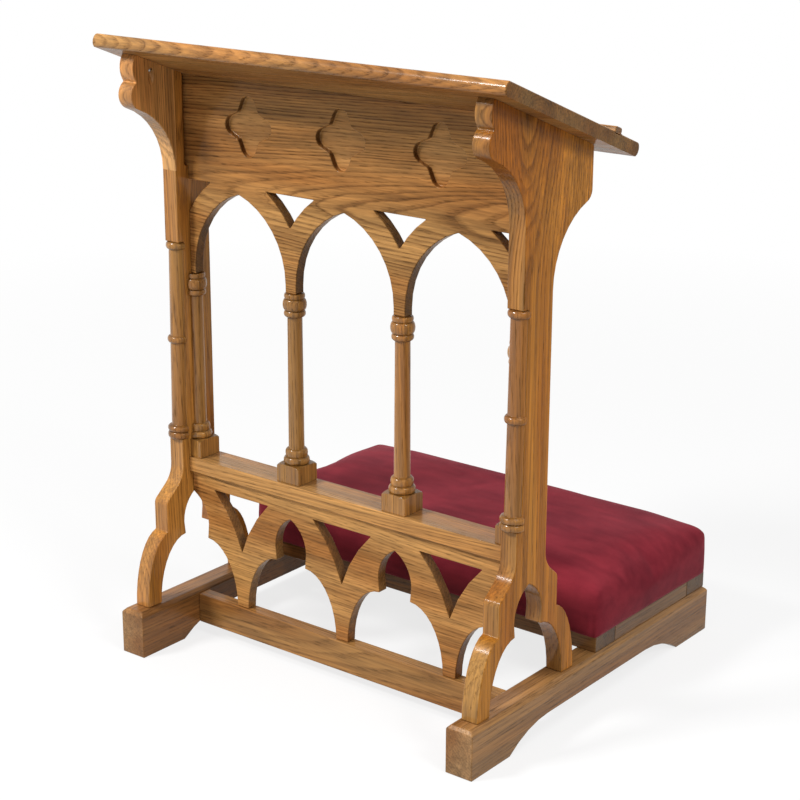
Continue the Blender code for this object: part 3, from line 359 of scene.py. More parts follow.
# %% Laying the log into a board
GRAIN_TURN = {"X": (0, 0, 0), "Y": (0, 0, -math.pi / 2), "Z": (0, math.pi / 2, 0)}
GRAIN_AXIS = {"X": (1, 0, 0), "Y": (0, 1, 0), "Z": (0, 0, 1)}
SWERVE_FOOT, SWERVE_HEAD = 0.56, 0.80


def in_the_log(tree, spot, height, along, pith, tilt, swerve):
    """Where each point of a board lay in its log."""
    turned = Vector(GRAIN_TURN[along]) + Vector((0, tilt[0], tilt[1]))
    laid = node(tree, "Mapping", {"Vector": spot, "Rotation": turned, "Location": pith})
    rising = ranged(tree, height, SWERVE_FOOT, SWERVE_HEAD, 0, swerve, interpolation_type="SMOOTHSTEP")
    shift = node(tree, "CombineXYZ", {"Z": rising})
    return node(tree, "VectorMath", {0: laid.outputs[0], 1: shift.outputs[0]}).outputs[0]


def facing(tree, axis):
    """How squarely the surface looks along an axis: 1 that way, -1 the other way."""
    normal = node(tree, "TexCoord").outputs["Normal"]
    return node(tree, "VectorMath", {0: normal, 1: axis}, operation="DOT_PRODUCT").outputs["Value"]


# %% [markdown]
# ### Stain and lacquer
# Three stains, pale, reddish and dark, are tinted for each board. Sawn ends drink more stain, so most come
# out darker; on the carved panel and the tracery they are darkened further, which is painted shade on the
# walls of the sunk carvings and the arches. What looks to the front or the back can have its own tint, which
# is painted light that makes those faces lighter or darker than the sides, and it can have a stronger coat.
# The floors of the sunk carvings are calmer and paler than the board round them. The lacquer is a coat on
# the shader itself.

# %% Oak finish
PALE_OAK = (0.495, 0.256, 0.082)
RED_OAK = (0.365, 0.150, 0.038)
DARK_OAK = (0.115, 0.040, 0.010)
GOLDEN = (1.0, 1.0, 1.0)
SATIN = 0.20
END_FROM, END_TO = 0.30, 0.90
FRONT_FROM, FRONT_TO = 0.5, 0.9
CALM_FOOT, CALM_HEAD, SWERVE_CALM = 0.44, 0.64, 0.4
SUNK_EDGE, SUNK_CONTRAST, SUNK_TINT = 0.001, 0.35, (1.16, 1.18, 1.25)
GRAIN_BUMP, GRAIN_DEPTH = 0.30, 0.0004
WARM_GLEAM = (1.0, 0.78, 0.55, 1)
COAT_ROUGHNESS = 0.13


def new_finish(name):
    """A new material, with its node tree and its shader."""
    finish = bpy.data.materials.new(name)
    finish.use_nodes = True
    return finish, finish.node_tree, finish.node_tree.nodes["Principled BSDF"]


def stained(colour, tint, tone):
    """A stain for one board, as a colour with alpha."""
    return (*(channel * part * tone for channel, part in zip(colour, tint)), 1)


def oak(
    name, along, pith, tilt=(0.0, 0.0), ring=0.0034, contrast=0.85, tint=GOLDEN, tone=1.0, end=0.55,
    painted_front_light=GOLDEN, gloss=SATIN, front_shine=1.0, swerve=0.0, sunk=None
):
    """Lacquered oak whose grain runs along an axis. The pith is the log's middle, from the turned origin."""
    finish, tree, shader = new_finish(name)
    spot = node(tree, "TexCoord").outputs["Object"]
    axes = node(tree, "SeparateXYZ", {0: spot})
    height = axes.outputs["Z"]
    lengthwise, fore = facing(tree, GRAIN_AXIS[along]), facing(tree, GRAIN_AXIS["Y"])
    sawn_end = ranged(tree, sum_up(tree, "ABSOLUTE", lengthwise), END_FROM, END_TO)
    front = ranged(tree, sum_up(tree, "ABSOLUTE", fore), FRONT_FROM, FRONT_TO)
    foot_contrast = contrast * (SWERVE_CALM if swerve else 1.0)
    strength = ranged(tree, height, CALM_FOOT, CALM_HEAD, foot_contrast, contrast)
    # Painted light: a tint that makes the faces looking to the front or the back lighter or darker than the
    # sides.
    painted_front_light_and_sunk_tint = blended(tree, "MIX", front, WHITE, (*painted_front_light, 1))
    if sunk is not None:
        deep = ranged(tree, axes.outputs["Y"], sunk, sunk + SUNK_EDGE)
        deep = product(tree, deep, ranged(tree, fore, -FRONT_FROM, -FRONT_TO))
        strength = product(tree, strength, ranged(tree, deep, 0, 1, 1.0, SUNK_CONTRAST))
        painted_front_light_and_sunk_tint = blended(tree, "MIX", deep, painted_front_light_and_sunk_tint, (*SUNK_TINT, 1))
    wood = node(tree, "Group", {
        "Vector": in_the_log(tree, spot, height, along, pith, tilt, swerve),
        "End": sawn_end, "End Shade": end, "Ring": ring, "Contrast": strength,
        "Pale": stained(PALE_OAK, tint, tone),
        "Red": stained(RED_OAK, tint, tone),
        "Dark": stained(DARK_OAK, tint, tone),
    }, node_tree=grain)
    pitted = {"Height": wood.outputs["Height"], "Strength": GRAIN_BUMP, "Distance": GRAIN_DEPTH}
    thickness = ranged(tree, front, 0, 1, gloss / SATIN, front_shine)
    fill(tree, shader, {
        "Base Color": blended(tree, "MULTIPLY", 1.0, wood.outputs["Color"], painted_front_light_and_sunk_tint),
        "Roughness": wood.outputs["Roughness"],
        "Coat Weight": product(tree, wood.outputs["Coat"], thickness),
        "Normal": node(tree, "Bump", pitted).outputs[0],
        "Specular IOR Level": gloss,
        "Specular Tint": WARM_GLEAM,
        "Coat Roughness": COAT_ROUGHNESS,
    })
    return finish


# %% [markdown]
# ## Boards with softened edges
# Sawn boards are sanded before they are lacquered, and each arris then catches a thin line of light. The
# solid's triangles are copied, welded and merged into whole faces, and a Bevel modifier rounds what is
# sharper than a set angle. A Weighted Normal modifier keeps the broad faces flat in the shading.

# %% Copy of a solid
WELD = 1e-5
FLAT = math.radians(0.6)


def pick(*things):
    """Selects the things and makes the first one active."""
    bpy.ops.object.select_all(action="DESELECT")
    for thing in things:
        thing.select_set(True)
    bpy.context.view_layer.objects.active = things[0]


def copied_solid(solid):
    """Welded copy of a solid, with its flat faces made whole again."""
    pick(frame["nodes"][solid])
    bpy.ops.object.duplicate()
    piece = bpy.context.object
    piece.name = solid + "_wood"
    del piece["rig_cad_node"]
    bpy.ops.object.mode_set(mode="EDIT")
    bpy.ops.mesh.select_all(action="SELECT")
    bpy.ops.mesh.customdata_custom_splitnormals_clear()
    bpy.ops.mesh.remove_doubles(threshold=WELD)
    bpy.ops.mesh.dissolve_limited(angle_limit=FLAT)
    bpy.ops.object.mode_set(mode="OBJECT")
    return piece


# %% Softened edges
ARRIS_ANGLE, SMOOTH_ANGLE = math.radians(32), math.radians(38)
ARRIS_STEPS = 3
GLUE_REACH = 0.0006


def apply_all(piece):
    """Applies the modifiers of a piece from top to bottom."""
    pick(piece)
    for modifier in [m.name for m in piece.modifiers]:
        bpy.ops.object.modifier_apply(modifier=modifier)


def lies_in(edge, joints):
    """Whether both ends of an edge lie in one of the glued joints, each given as a point and a normal."""
    ends = [corner.co for corner in edge.verts]
    return any(all(abs((end - spot).dot(normal)) < GLUE_REACH for end in ends) for spot, normal in joints)


def soften(piece, width, joints=()):
    """Rounds the sharp edges of a piece, apart from those that lie in a glued joint."""
    pick(piece)
    bpy.ops.object.shade_smooth_by_angle(angle=SMOOTH_ANGLE)
    mesh = bmesh.new()
    mesh.from_mesh(piece.data)
    weight = mesh.edges.layers.float.new("bevel_weight_edge")
    for edge in mesh.edges:
        edge[weight] = float(edge.calc_face_angle(0) > ARRIS_ANGLE and not lies_in(edge, joints))
    mesh.to_mesh(piece.data)
    mesh.free()
    arris = piece.modifiers.new("arris", "BEVEL")
    arris.width = width
    arris.segments = ARRIS_STEPS
    arris.limit_method = "WEIGHT"
    arris.use_clamp_overlap = False
    arris.miter_outer = "MITER_ARC"
    flat = piece.modifiers.new("flat_faces", "WEIGHTED_NORMAL")
    flat.keep_sharp = True
    apply_all(piece)


# %% [markdown]
# ## Cutting list
# Each row is one board: its softened edge, the way its grain runs, where the pith of its log lay, and its
# stain. Long rails are cut along their length and the standards stand upright. The right bracket shares the
# cut of its standard, because no seam shows between the two. Some broad boards are dull on their faces, so
# that they don't mirror the white room.

# %% Cuts of oak
WARM, HONEY = (1.12, 0.98, 0.62), (1.08, 0.84, 0.36)
WORN, TURNED = (0.66, 0.65, 0.69), (1.00, 0.93, 0.70)
# Painted light: tints for the faces that look to the front or the back, which make them lighter or darker
# than the sides.
PAINTED_PALE_FRONT, PAINTED_RUNNER_FRONT = (0.875, 1.10, 2.13), (1.04, 1.14, 1.45)
PAINTED_LEFT_FRONT, PAINTED_BRACKET_FRONT, PAINTED_RAIL_FRONT = (0.90, 0.92, 1.2), (1.05, 1.05, 1.1), (1.32, 1.28, 1.22)
DULL = 0.08
EDGE_SHINE, DESK_SHINE = 3.5, 3.0
SUNK_HALF_WAY = 0.003


def runner_oak(name, pith, tilt):
    """Oak of a runner, worn by shoes."""
    return oak(name, "Y", pith, tilt, 0.0038, 0.34, WORN, end=1.05, painted_front_light=PAINTED_RUNNER_FRONT)


def frame_oak(name, along, pith):
    """Darker oak of the frame under the pad."""
    return oak(name, along, pith, (0.02, 0.02), contrast=0.5, tint=WORN, tone=0.68)


panel_low, panel_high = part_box("arcade_panel")
RIGHT_END = oak(
    "oak_right_standard", "Z", (3.43, 0.171, 0.2169), (0.0, 0.0), 0.0042, 0.85, HONEY, end=0.75,
    painted_front_light=PAINTED_PALE_FRONT, gloss=DULL, front_shine=EDGE_SHINE, swerve=0.030,
)
BOARDS = {
    # On the panel the darker sawn ends are partly painted shade on the walls of its sunk carvings and arches.
    "arcade_panel": (0.0013, oak(
        "oak_panel", "X", (0.31, 0.10, -0.622), (0.02, 0.05), 0.0032, 1.0, tone=0.99, end=0.38,
        gloss=DULL, sunk=panel_low.y + SUNK_HALF_WAY,
    )),
    # On the tracery the darker sawn ends are partly painted shade on the walls of its arches.
    "lower_tracery": (0.0010, oak(
        "oak_tracery", "X", (1.37, 0.24, -0.30), (0.01, -0.05), 0.0036, 0.55, tone=1.17, end=0.50, gloss=DULL,
    )),
    "left_standard": (0.0012, oak(
        "oak_left_standard", "Z", (2.10, 0.15, -0.20), (0.03, 0.02), 0.0038, 0.5, WARM, end=0.9,
        painted_front_light=PAINTED_LEFT_FRONT, front_shine=EDGE_SHINE,
    )),
    "right_standard": (0.0012, RIGHT_END),
    "left_bracket": (0.0012, oak(
        "oak_left_bracket", "Z", (4.20, 0.33, -0.24), (0.02, 0.02), 0.0036, 0.55, tone=1.52,
        painted_front_light=PAINTED_BRACKET_FRONT, front_shine=EDGE_SHINE,
    )),
    "right_bracket": (0.0012, RIGHT_END),
    "left_runner": (0.0012, runner_oak("oak_left_runner", (6.61, -0.20, -0.11), (0.02, 0.03))),
    "right_runner": (0.0012, runner_oak("oak_right_runner", (7.37, 0.37, -0.13), (0.03, 0.02))),
    "front_stretcher": (0.0012, oak(
        "oak_stretcher", "X", (8.15, 0.27, -0.06), (0.02, 0.03), 0.0038, 0.55, tone=0.82,
    )),
    "middle_rail": (0.0010, oak(
        "oak_rail", "X", (9.02, 0.24, -0.30), (0.02, 0.02), 0.0036, 0.55, tone=0.96, painted_front_light=PAINTED_RAIL_FRONT,
    )),
    "desk_top": (0.0016, oak(
        "oak_desk", "X", (10.4, 0.147, -0.755), (0.0, 0.16), 0.0040, 0.8, end=0.46,
        gloss=DULL, front_shine=DESK_SHINE,
    )),
    "book_ledge": (0.0008, oak(
        "oak_ledge", "X", (11.3, 0.03, -0.75), (0.02, 0.02), 0.0036, 0.8, tone=0.9,
    )),
    "kneeler_front_rail": (0.0010, frame_oak("oak_front_rail", "X", (12.5, 0.08, -0.14))),
    "kneeler_rear_rail": (0.0010, frame_oak("oak_rear_rail", "X", (13.7, -0.14, -0.16))),
    "kneeler_left_rail": (0.0010, frame_oak("oak_left_rail", "Y", (14.1, -0.30, -0.15))),
    "kneeler_right_rail": (0.0010, frame_oak("oak_right_rail", "Y", (15.6, 0.33, -0.14))),
}
print("boards to cut:", len(BOARDS))

# %% [markdown]
# ## Cutting and fitting the boards
# Where two boards are glued their edges stay sharp: under the desk, and where a bracket meets its post. A
# bracket's foot is also pressed down onto the post, because the eye would find even a hair-wide slit there.

# %% Boards
GLUE_GAP = 0.0003
DESK_TILT = math.radians(21.1)


def chosen_corners(piece, test):
    """Goes into edit mode with the corners selected whose place passes the test."""
    pick(piece)
    bpy.ops.object.mode_set(mode="EDIT")
    bpy.ops.mesh.select_mode(type="VERT")
    bpy.ops.mesh.select_all(action="DESELECT")
    mesh = bmesh.from_edit_mesh(piece.data)
    for corner in mesh.verts:
        corner.select_set(test(corner.co))
    mesh.select_flush_mode()
    bmesh.update_edit_mesh(piece.data)


def pressed_down(piece, by):
    """Lowers the lowest face of a piece."""
    level = min(corner.co.z for corner in piece.data.vertices)
    chosen_corners(piece, lambda spot: spot.z < level + WELD)
    bpy.ops.transform.translate(value=(0, 0, -by))
    bpy.ops.object.mode_set(mode="OBJECT")


def fit(piece, finish, slot, *solids):
    """Gives a finished piece its material and puts it in place of its solids."""
    piece.data.materials.clear()
    piece.data.materials.append(finish)
    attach(piece, "root")
    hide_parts(*solids)
    print(piece.name, len(piece.data.polygons), "faces")


bracket_low, bracket_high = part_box("left_bracket")
glued_joints = (
    (Vector((0, panel_low.y, panel_high.z)), Vector((0, math.sin(DESK_TILT), math.cos(DESK_TILT)))),
    (Vector((0, bracket_high.y, 0)), Vector((0, 1, 0))),
    (Vector((0, 0, bracket_low.z)), Vector((0, 0, 1))),
)
for solid, (arris_width, finish) in BOARDS.items():
    board = copied_solid(solid)
    if solid.endswith("bracket"):
        pressed_down(board, GLUE_GAP)
    soften(board, arris_width, glued_joints)
    fit(board, finish, "oak", solid)

# %% [markdown]
# ## Turned columns
# A colonnette starts as a square stick. The turner leaves the square at the foot, rounds its shoulder, and
# cuts rings and a slim shaft above it. So the profile is spun right round, with the foot as wide as the
# corners of the stick, and then four saw cuts bring the square back. The split ones at the ends are one more
# cut.

# %% Lathe
LATHE_STEPS = 56
RING_STEPS = 10
SEED_PLANE = 0.01


def ring_profile(radius, lower, upper, bottom, height):
    """Half-round moulding between two creases, as (radius, height) points from the bottom up."""
    points = []
    for k in range(RING_STEPS + 1):
        turn = math.pi * (k / RING_STEPS - 0.5)
        crease = lower if turn < 0 else upper
        out = crease + (radius - crease) * math.cos(turn)
        points.append((out, bottom + height / 2 * (1 + math.sin(turn))))
    return points


def spun(name, profile, axis_x, axis_y):
    """Turns a profile of (radius, height) points about an upright axis."""
    bpy.ops.object.select_all(action="DESELECT")
    radius, height = profile[0]
    bpy.ops.mesh.primitive_plane_add(size=SEED_PLANE, location=(axis_x + radius, axis_y, height))
    piece = bpy.context.object
    piece.name = name
    bpy.ops.object.transform_apply(location=True, rotation=True, scale=True)
    bpy.ops.object.mode_set(mode="EDIT")
    bpy.ops.mesh.select_all(action="SELECT")
    bpy.ops.mesh.merge(type="CENTER")
    for (r0, z0), (r1, z1) in zip(profile, profile[1:]):
        bpy.ops.mesh.extrude_region_move(TRANSFORM_OT_translate={"value": (r1 - r0, 0, z1 - z0)})
    bpy.ops.mesh.select_all(action="SELECT")
    bpy.ops.mesh.spin(steps=LATHE_STEPS, angle=2 * math.pi, center=(axis_x, axis_y, 0), axis=(0, 0, 1))
    bpy.ops.mesh.select_all(action="SELECT")
    bpy.ops.mesh.remove_doubles(threshold=WELD)
    bpy.ops.mesh.normals_make_consistent(inside=False)
    bpy.ops.object.mode_set(mode="OBJECT")
    return piece


def sawn(piece, point, away):
    """Saws a piece along a plane, closes the cut and drops the side that the arrow points to."""
    pick(piece)
    bpy.ops.object.mode_set(mode="EDIT")
    bpy.ops.mesh.select_all(action="SELECT")
    bpy.ops.mesh.bisect(plane_co=point, plane_no=away, use_fill=True, clear_outer=True)
    bpy.ops.object.mode_set(mode="OBJECT")


# %% Profile of a colonnette
PLINTH = 0.036
PLINTH_SQUARE, PLINTH_SHOULDER = 0.0200, 0.0040
BASE_RING, BASE_SEAT, BASE_CREASE, BASE_HEIGHT = 0.0166, 0.0145, 0.0130, 0.0095
UPPER_RING, UPPER_HEIGHT = 0.0143, 0.0108
SHAFT_FOOT, SHAFT_TOP = 0.0101, 0.0094
NECKING, CAPITAL, ABACUS, CAPITAL_CREASE = 0.0137, 0.0151, 0.0131, 0.0117
NECKING_HEIGHT, CAPITAL_HEIGHT, ABACUS_HEIGHT = 0.0085, 0.0150, 0.0066

rail_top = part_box("middle_rail")[1].z
arch_foot = panel_low.z


def colonnette_profile():
    """Plinth, base rings, tapered shaft, necking, capital and abacus, from the axis to the axis."""
    foot, top = rail_top + GLUE_GAP, arch_foot - GLUE_GAP
    corner = PLINTH / math.sqrt(2) + GLUE_GAP
    shoulder = foot + PLINTH_SQUARE
    base = shoulder + PLINTH_SHOULDER
    rounding = [
        (BASE_RING + (corner - BASE_RING) * math.cos(a), shoulder + PLINTH_SHOULDER * math.sin(a))
        for a in (math.pi / 2 * k / RING_STEPS for k in range(RING_STEPS + 1))
    ]
    profile = [(0, foot), (corner, foot)] + rounding
    profile += ring_profile(BASE_RING, BASE_SEAT, BASE_CREASE, base, BASE_HEIGHT)
    profile += ring_profile(UPPER_RING, BASE_CREASE, SHAFT_FOOT, base + BASE_HEIGHT, UPPER_HEIGHT)[1:]
    abacus = top - ABACUS_HEIGHT
    capital = abacus - CAPITAL_HEIGHT
    profile += ring_profile(NECKING, SHAFT_TOP, CAPITAL_CREASE, capital - NECKING_HEIGHT, NECKING_HEIGHT)
    profile += ring_profile(CAPITAL, CAPITAL_CREASE, CAPITAL_CREASE, capital, CAPITAL_HEIGHT)[1:]
    profile += ring_profile(ABACUS, CAPITAL_CREASE, CAPITAL_CREASE, abacus, ABACUS_HEIGHT)[1:]
    return profile + [(0, top)]


print("profile of", len(colonnette_profile()), "points")

# %% Colonnettes
SIDES = {"left": -1, "right": 1}
TURNED_ARRIS = 0.0003
TURNED_CONTRAST, TURNED_SHINE = 0.34, 5.0


def turned_oak(name, pith, tilt, tone):
    """Calm, upright grain with a bright coat, for what comes off the lathe."""
    return oak(
        name, "Z", pith, tilt, contrast=TURNED_CONTRAST, tint=TURNED, tone=tone, front_shine=TURNED_SHINE,
    )


def turn_colonnette(name, axis_x, axis_y):
    """A colonnette on its square plinth."""
    piece = spun(name, colonnette_profile(), axis_x, axis_y)
    for away in ((1, 0, 0), (-1, 0, 0), (0, 1, 0), (0, -1, 0)):
        sawn(piece, Vector((axis_x, axis_y, 0)) + Vector(away) * PLINTH / 2, away)
    return piece


arcade_y = (panel_low.y + panel_high.y) / 2
for side, sign in SIDES.items():
    low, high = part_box(side + "_colonnette")
    whole = turn_colonnette(side + "_colonnette_wood", (low.x + high.x) / 2, arcade_y)
    soften(whole, TURNED_ARRIS)
    whole_pith = (16.2 + sign, 0.155, 0.02 * sign)
    whole_oak = turned_oak(f"oak_{side}_colonnette", whole_pith, (0.02, 0.03), 0.83 + 0.12 * sign)
    fit(whole, whole_oak, "oak", side + "_colonnette")
    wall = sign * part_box("right_standard")[0].x
    half = turn_colonnette(side + "_half_colonnette_wood", wall, arcade_y)
    sawn(half, (wall - sign * GLUE_GAP, 0, 0), (sign, 0, 0))
    soften(half, TURNED_ARRIS)
    half_pith = (18.4 + sign, 0.165, 0.22 * sign)
    half_oak = turned_oak(f"oak_{side}_half_colonnette", half_pith, (0.02, 0.02), 0.90)
    fit(half, half_oak, "oak", side + "_half_colonnette")

# %% [markdown]
# ## Ringed half columns
# The front edge of each post carries a split turning: a plain shaft with a ring at the top, one half way and
# two broader ones at the foot. It is spun like the others and sawn in half along its axis. Its seat in the
# post leans back by a few millimetres, so it is turned about its foot at the end.

# %% Half columns
HALF_SHAFT, HALF_RING, HALF_RING_HEIGHT = 0.0110, 0.0146, 0.0098
HALF_FOOT, HALF_FOOT_HEIGHT, HALF_CREASE = 0.0162, 0.0090, 0.0135
HALF_LENGTH, MIDDLE_RING = 0.2619, 0.1335
SEAT_SET_BACK, SEAT_LENGTH = 0.0050, 0.2625
HALF_LEAN = math.atan2(SEAT_SET_BACK, SEAT_LENGTH)


def half_column_profile(foot):
    """Two foot rings, a shaft with a ring half way and a ring at the top."""
    profile = [(0, foot)] + ring_profile(HALF_FOOT, HALF_CREASE, HALF_CREASE, foot, HALF_FOOT_HEIGHT)
    second = foot + HALF_FOOT_HEIGHT
    profile += ring_profile(HALF_FOOT, HALF_CREASE, HALF_SHAFT, second, HALF_FOOT_HEIGHT)[1:]
    for rise in (MIDDLE_RING - HALF_RING_HEIGHT / 2, HALF_LENGTH - HALF_RING_HEIGHT):
        profile += ring_profile(HALF_RING, HALF_SHAFT, HALF_SHAFT, foot + rise, HALF_RING_HEIGHT)
    return profile + [(0, foot + HALF_LENGTH)]


for side, sign in SIDES.items():
    low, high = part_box(side + "_half_column")
    seat = Vector(((low.x + high.x) / 2, high.y - HALF_LENGTH * math.sin(HALF_LEAN), low.z))
    column = spun(side + "_half_column_wood", half_column_profile(low.z), seat.x, seat.y + GLUE_GAP)
    sawn(column, seat, (0, 1, 0))
    pick(column)
    lean = Matrix.Rotation(-HALF_LEAN, 4, "X")
    column.matrix_world = Matrix.Translation(seat) @ lean @ Matrix.Translation(-seat)
    bpy.ops.object.transform_apply(location=True, rotation=True, scale=True)
    soften(column, TURNED_ARRIS)
    column_pith = (20.7 + sign, 0.22, 0.25 * sign)
    column_oak = turned_oak(f"oak_{side}_half_column", column_pith, (0.01, 0.02), 0.85 + 0.08 * sign)
    fit(column, column_oak, "oak", side + "_half_column")

# %% [markdown]
# ## Velvet
# Velvet is a pile of short upright threads. It is deep crimson when one looks into it and pale along its
# edges, which the shader's sheen gives. Strokes of the hand leave lighter and darker clouds in the nap.

# %% Velvet finish
NAP_DARK, NAP_PALE = (0.142, 0.010, 0.019, 1), (0.240, 0.021, 0.033, 1)
CLOUD_SCALE, CLOUD_CURL, CLOUD_SHARE = 13, 0.4, 0.65
STROKE_STRETCH, STROKE_SHARE = (14, 70, 70), 0.35
NAP_FROM, NAP_TO = 0.38, 0.62
PILE_SCALE, PILE_SHADE = 1900, (0.3, 0.7, 0.82, 1.12)
PILE_BUMP, PILE_DEPTH = 0.35, 0.0006

velvet, tree, shader = new_finish("crimson_velvet")
spot = node(tree, "TexCoord").outputs["Object"]
curls = {"Vector": spot, "Scale": CLOUD_SCALE, "Detail": 3, "Distortion": CLOUD_CURL}
cloud = node(tree, "TexNoise", curls).outputs[0]
stroke = noise(tree, spot, STROKE_STRETCH, 2).outputs[0]
pile = node(tree, "TexNoise", {"Vector": spot, "Scale": PILE_SCALE, "Detail": 1}).outputs[0]
nap = sum_up(tree, "ADD", product(tree, cloud, CLOUD_SHARE), product(tree, stroke, STROKE_SHARE))
colour = blended(tree, "MIX", ranged(tree, nap, NAP_FROM, NAP_TO), NAP_DARK, NAP_PALE)
tufted = {"Height": pile, "Strength": PILE_BUMP, "Distance": PILE_DEPTH}
fill(tree, shader, {
    "Base Color": blended(tree, "MULTIPLY", 1.0, colour, ranged(tree, pile, *PILE_SHADE)),
    "Normal": node(tree, "Bump", tufted).outputs[0],
    "Roughness": 0.95,
    "Specular IOR Level": 0.15,
    "Sheen Weight": 0.30,
    "Sheen Roughness": 0.35,
    "Sheen Tint": (1.0, 0.42, 0.48, 1),
})
print("velvet:", len(tree.nodes), "nodes")

# %% [markdown]
# ## Kneeling pad
# The pad is a block of foam on a board, covered with velvet that is drawn down and tacked underneath. It
# starts as a box with rounded edges. A Remesh modifier turns that into even squares, which cloth needs, and
# a Smooth modifier wears the upper corners round.


# %% Block of foam
def block(name, low, high):
    """Box between two corners."""
    bpy.ops.object.select_all(action="DESELECT")
    bpy.ops.mesh.primitive_cube_add(size=1, location=(low + high) / 2)
    piece = bpy.context.object
    piece.name = name
    piece.scale = high - low
    bpy.ops.object.transform_apply(location=True, rotation=True, scale=True)
    return piece


def chosen_edges(piece, test):
    """Goes into edit mode with the edges selected whose two ends pass the test."""
    bpy.ops.object.mode_set(mode="EDIT")
    bpy.ops.mesh.select_mode(type="EDGE")
    bpy.ops.mesh.select_all(action="DESELECT")
    mesh = bmesh.from_edit_mesh(piece.data)
    for edge in mesh.edges:
        edge.select_set(test(*(corner.co for corner in edge.verts)))
    bmesh.update_edit_mesh(piece.data)


OVERHANG, CROWN = 0.0010, 0.0018
PAD_SHOULDER, SHOULDER_STEPS = 0.017, 6
PAD_CORNER, CORNER_STEPS = 0.011, 3
TOP_REACH = 0.001
VOXEL = 0.005

pad_low, pad_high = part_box("kneeler_cover")
block_top = pad_high.z - CROWN
wider = Vector((OVERHANG, OVERHANG, 0))
pad = block("kneeling_pad", pad_low - wider, pad_high + wider - Vector((0, 0, CROWN)))
chosen_edges(pad, lambda a, b: min(a.z, b.z) > block_top - TOP_REACH)
bpy.ops.mesh.bevel(offset=PAD_SHOULDER, segments=SHOULDER_STEPS, affect="EDGES")
chosen_edges(pad, lambda a, b: abs(a.z - b.z) > PAD_SHOULDER)
bpy.ops.mesh.bevel(offset=PAD_CORNER, segments=CORNER_STEPS, affect="EDGES")
bpy.ops.mesh.select_mode(type="VERT")
bpy.ops.object.mode_set(mode="OBJECT")
remesh = pad.modifiers.new("squares", "REMESH")
remesh.mode = "VOXEL"
remesh.voxel_size = VOXEL
apply_all(pad)
print("foam block:", len(pad.data.polygons), "squares")

# %% Worn corners
EASE = 0.5
WORN_ROUNDS = 6


def eased(piece, name, rounds):
    """Adds a Smooth modifier that works on the upper half of the pad."""
    ease = piece.modifiers.new(name, "SMOOTH")
    ease.factor = EASE
    ease.iterations = rounds
    ease.vertex_group = "upper"


upper = pad.vertex_groups.new(name="upper")
for corner in pad.data.vertices:
    height = (corner.co.z - pad_low.z) / (block_top - pad_low.z)
    upper.add([corner.index], max(0.0, min(1.0, 2 * height - 1)), "REPLACE")
eased(pad, "worn_corners", WORN_ROUNDS)
apply_all(pad)
print("corners worn in", WORN_ROUNDS, "rounds")

# %% [markdown]
# ### Stuffing
# Cloth with a little air inside swells between its corners, as upholstery does, so the velvet is blown up
# like a balloon with its tacked foot held. No point may move further than a cap, which keeps the pad on its
# frame.

# %% Blow it up
AIR, VELVET_PULL, VELVET_BEND = 1.7, 120, 2.0
SHEAR_SHARE = 3
FOOT_HELD = 0.004
CAP = 0.012
LAST_FRAME = 20


def inflate(piece, floor_z):
    """Firm cloth with a little air inside. The foot is held, and no point moves further than the cap."""
    start = [corner.co.copy() for corner in piece.data.vertices]
    held = piece.vertex_groups.new(name="tacked")
    held.add([c.index for c in piece.data.vertices if c.co.z < floor_z + FOOT_HELD], 1.0, "REPLACE")
    cloth = piece.modifiers.new("cover", "CLOTH")
    cloth.settings.vertex_group_mass = "tacked"
    cloth.settings.use_pressure = True
    cloth.settings.uniform_pressure_force = AIR
    cloth.settings.tension_stiffness = VELVET_PULL
    cloth.settings.compression_stiffness = VELVET_PULL
    cloth.settings.shear_stiffness = VELVET_PULL / SHEAR_SHARE
    cloth.settings.bending_stiffness = VELVET_BEND
    cloth.settings.effector_weights.gravity = 0
    cloth.point_cache.frame_start = 1
    cloth.point_cache.frame_end = LAST_FRAME
    scene = bpy.context.scene
    for step in range(1, LAST_FRAME + 1):
        scene.frame_set(step)
    pick(piece)
    bpy.ops.object.modifier_apply(modifier="cover")
    scene.frame_set(1)
    furthest = 0.0
    for corner, before in zip(piece.data.vertices, start):
        move = corner.co - before
        furthest = max(furthest, move.length)
        if move.length > CAP:
            corner.co = before + move * (CAP / move.length)
    print("pad swelled by up to", round(furthest * 1000, 1), "mm")


inflate(pad, pad_low.z)

# %% [markdown]
# ### Settled corners
# Years of knees and hands have eased the upper edge, and the corners hang a little. One more Smooth modifier
# and one subdivision give the soft edge. Each top corner is then lowered with proportional editing, which
# takes its neighbourhood along, so that no dent shows where the move begins.

# %% Let it settle
SETTLED_ROUNDS = 12
DROOP, DROOP_REACH = 0.004, 0.08

eased(pad, "settled", SETTLED_ROUNDS)
swollen = pad.modifiers.new("fine", "SUBSURF")
swollen.levels = 1
swollen.render_levels = 1
apply_all(pad)
for end_x in (pad_low.x, pad_high.x):
    for end_y in (pad_low.y, pad_high.y):
        peak = Vector((end_x, end_y, block_top))
        chosen_corners(pad, lambda spot: (spot - peak).length < PAD_SHOULDER)
        bpy.ops.transform.translate(
            value=(0, 0, -DROOP), use_proportional_edit=True, proportional_edit_falloff="SMOOTH",
            proportional_size=DROOP_REACH
        )
        bpy.ops.object.mode_set(mode="OBJECT")
print("settled pad:", len(pad.data.polygons), "faces")

# %% [markdown]
# ## Pleats and hem
# At each corner the spare velvet is folded into an upright pleat, which is a shallow groove in the lower half
# of the pad's front and back. Underneath, the velvet ends in a hem round the edge of the board, so two blocks
# are cut out of the pad: the board's own room and the opening inside the hem.

# %% Pleats
PLEAT_IN, PLEAT_WIDTH, PLEAT_DEPTH = 0.006, 0.004, 0.0016
PLEAT_FOOT, PLEAT_TOP, PLEAT_FADE = 0.001, 0.045, 0.018

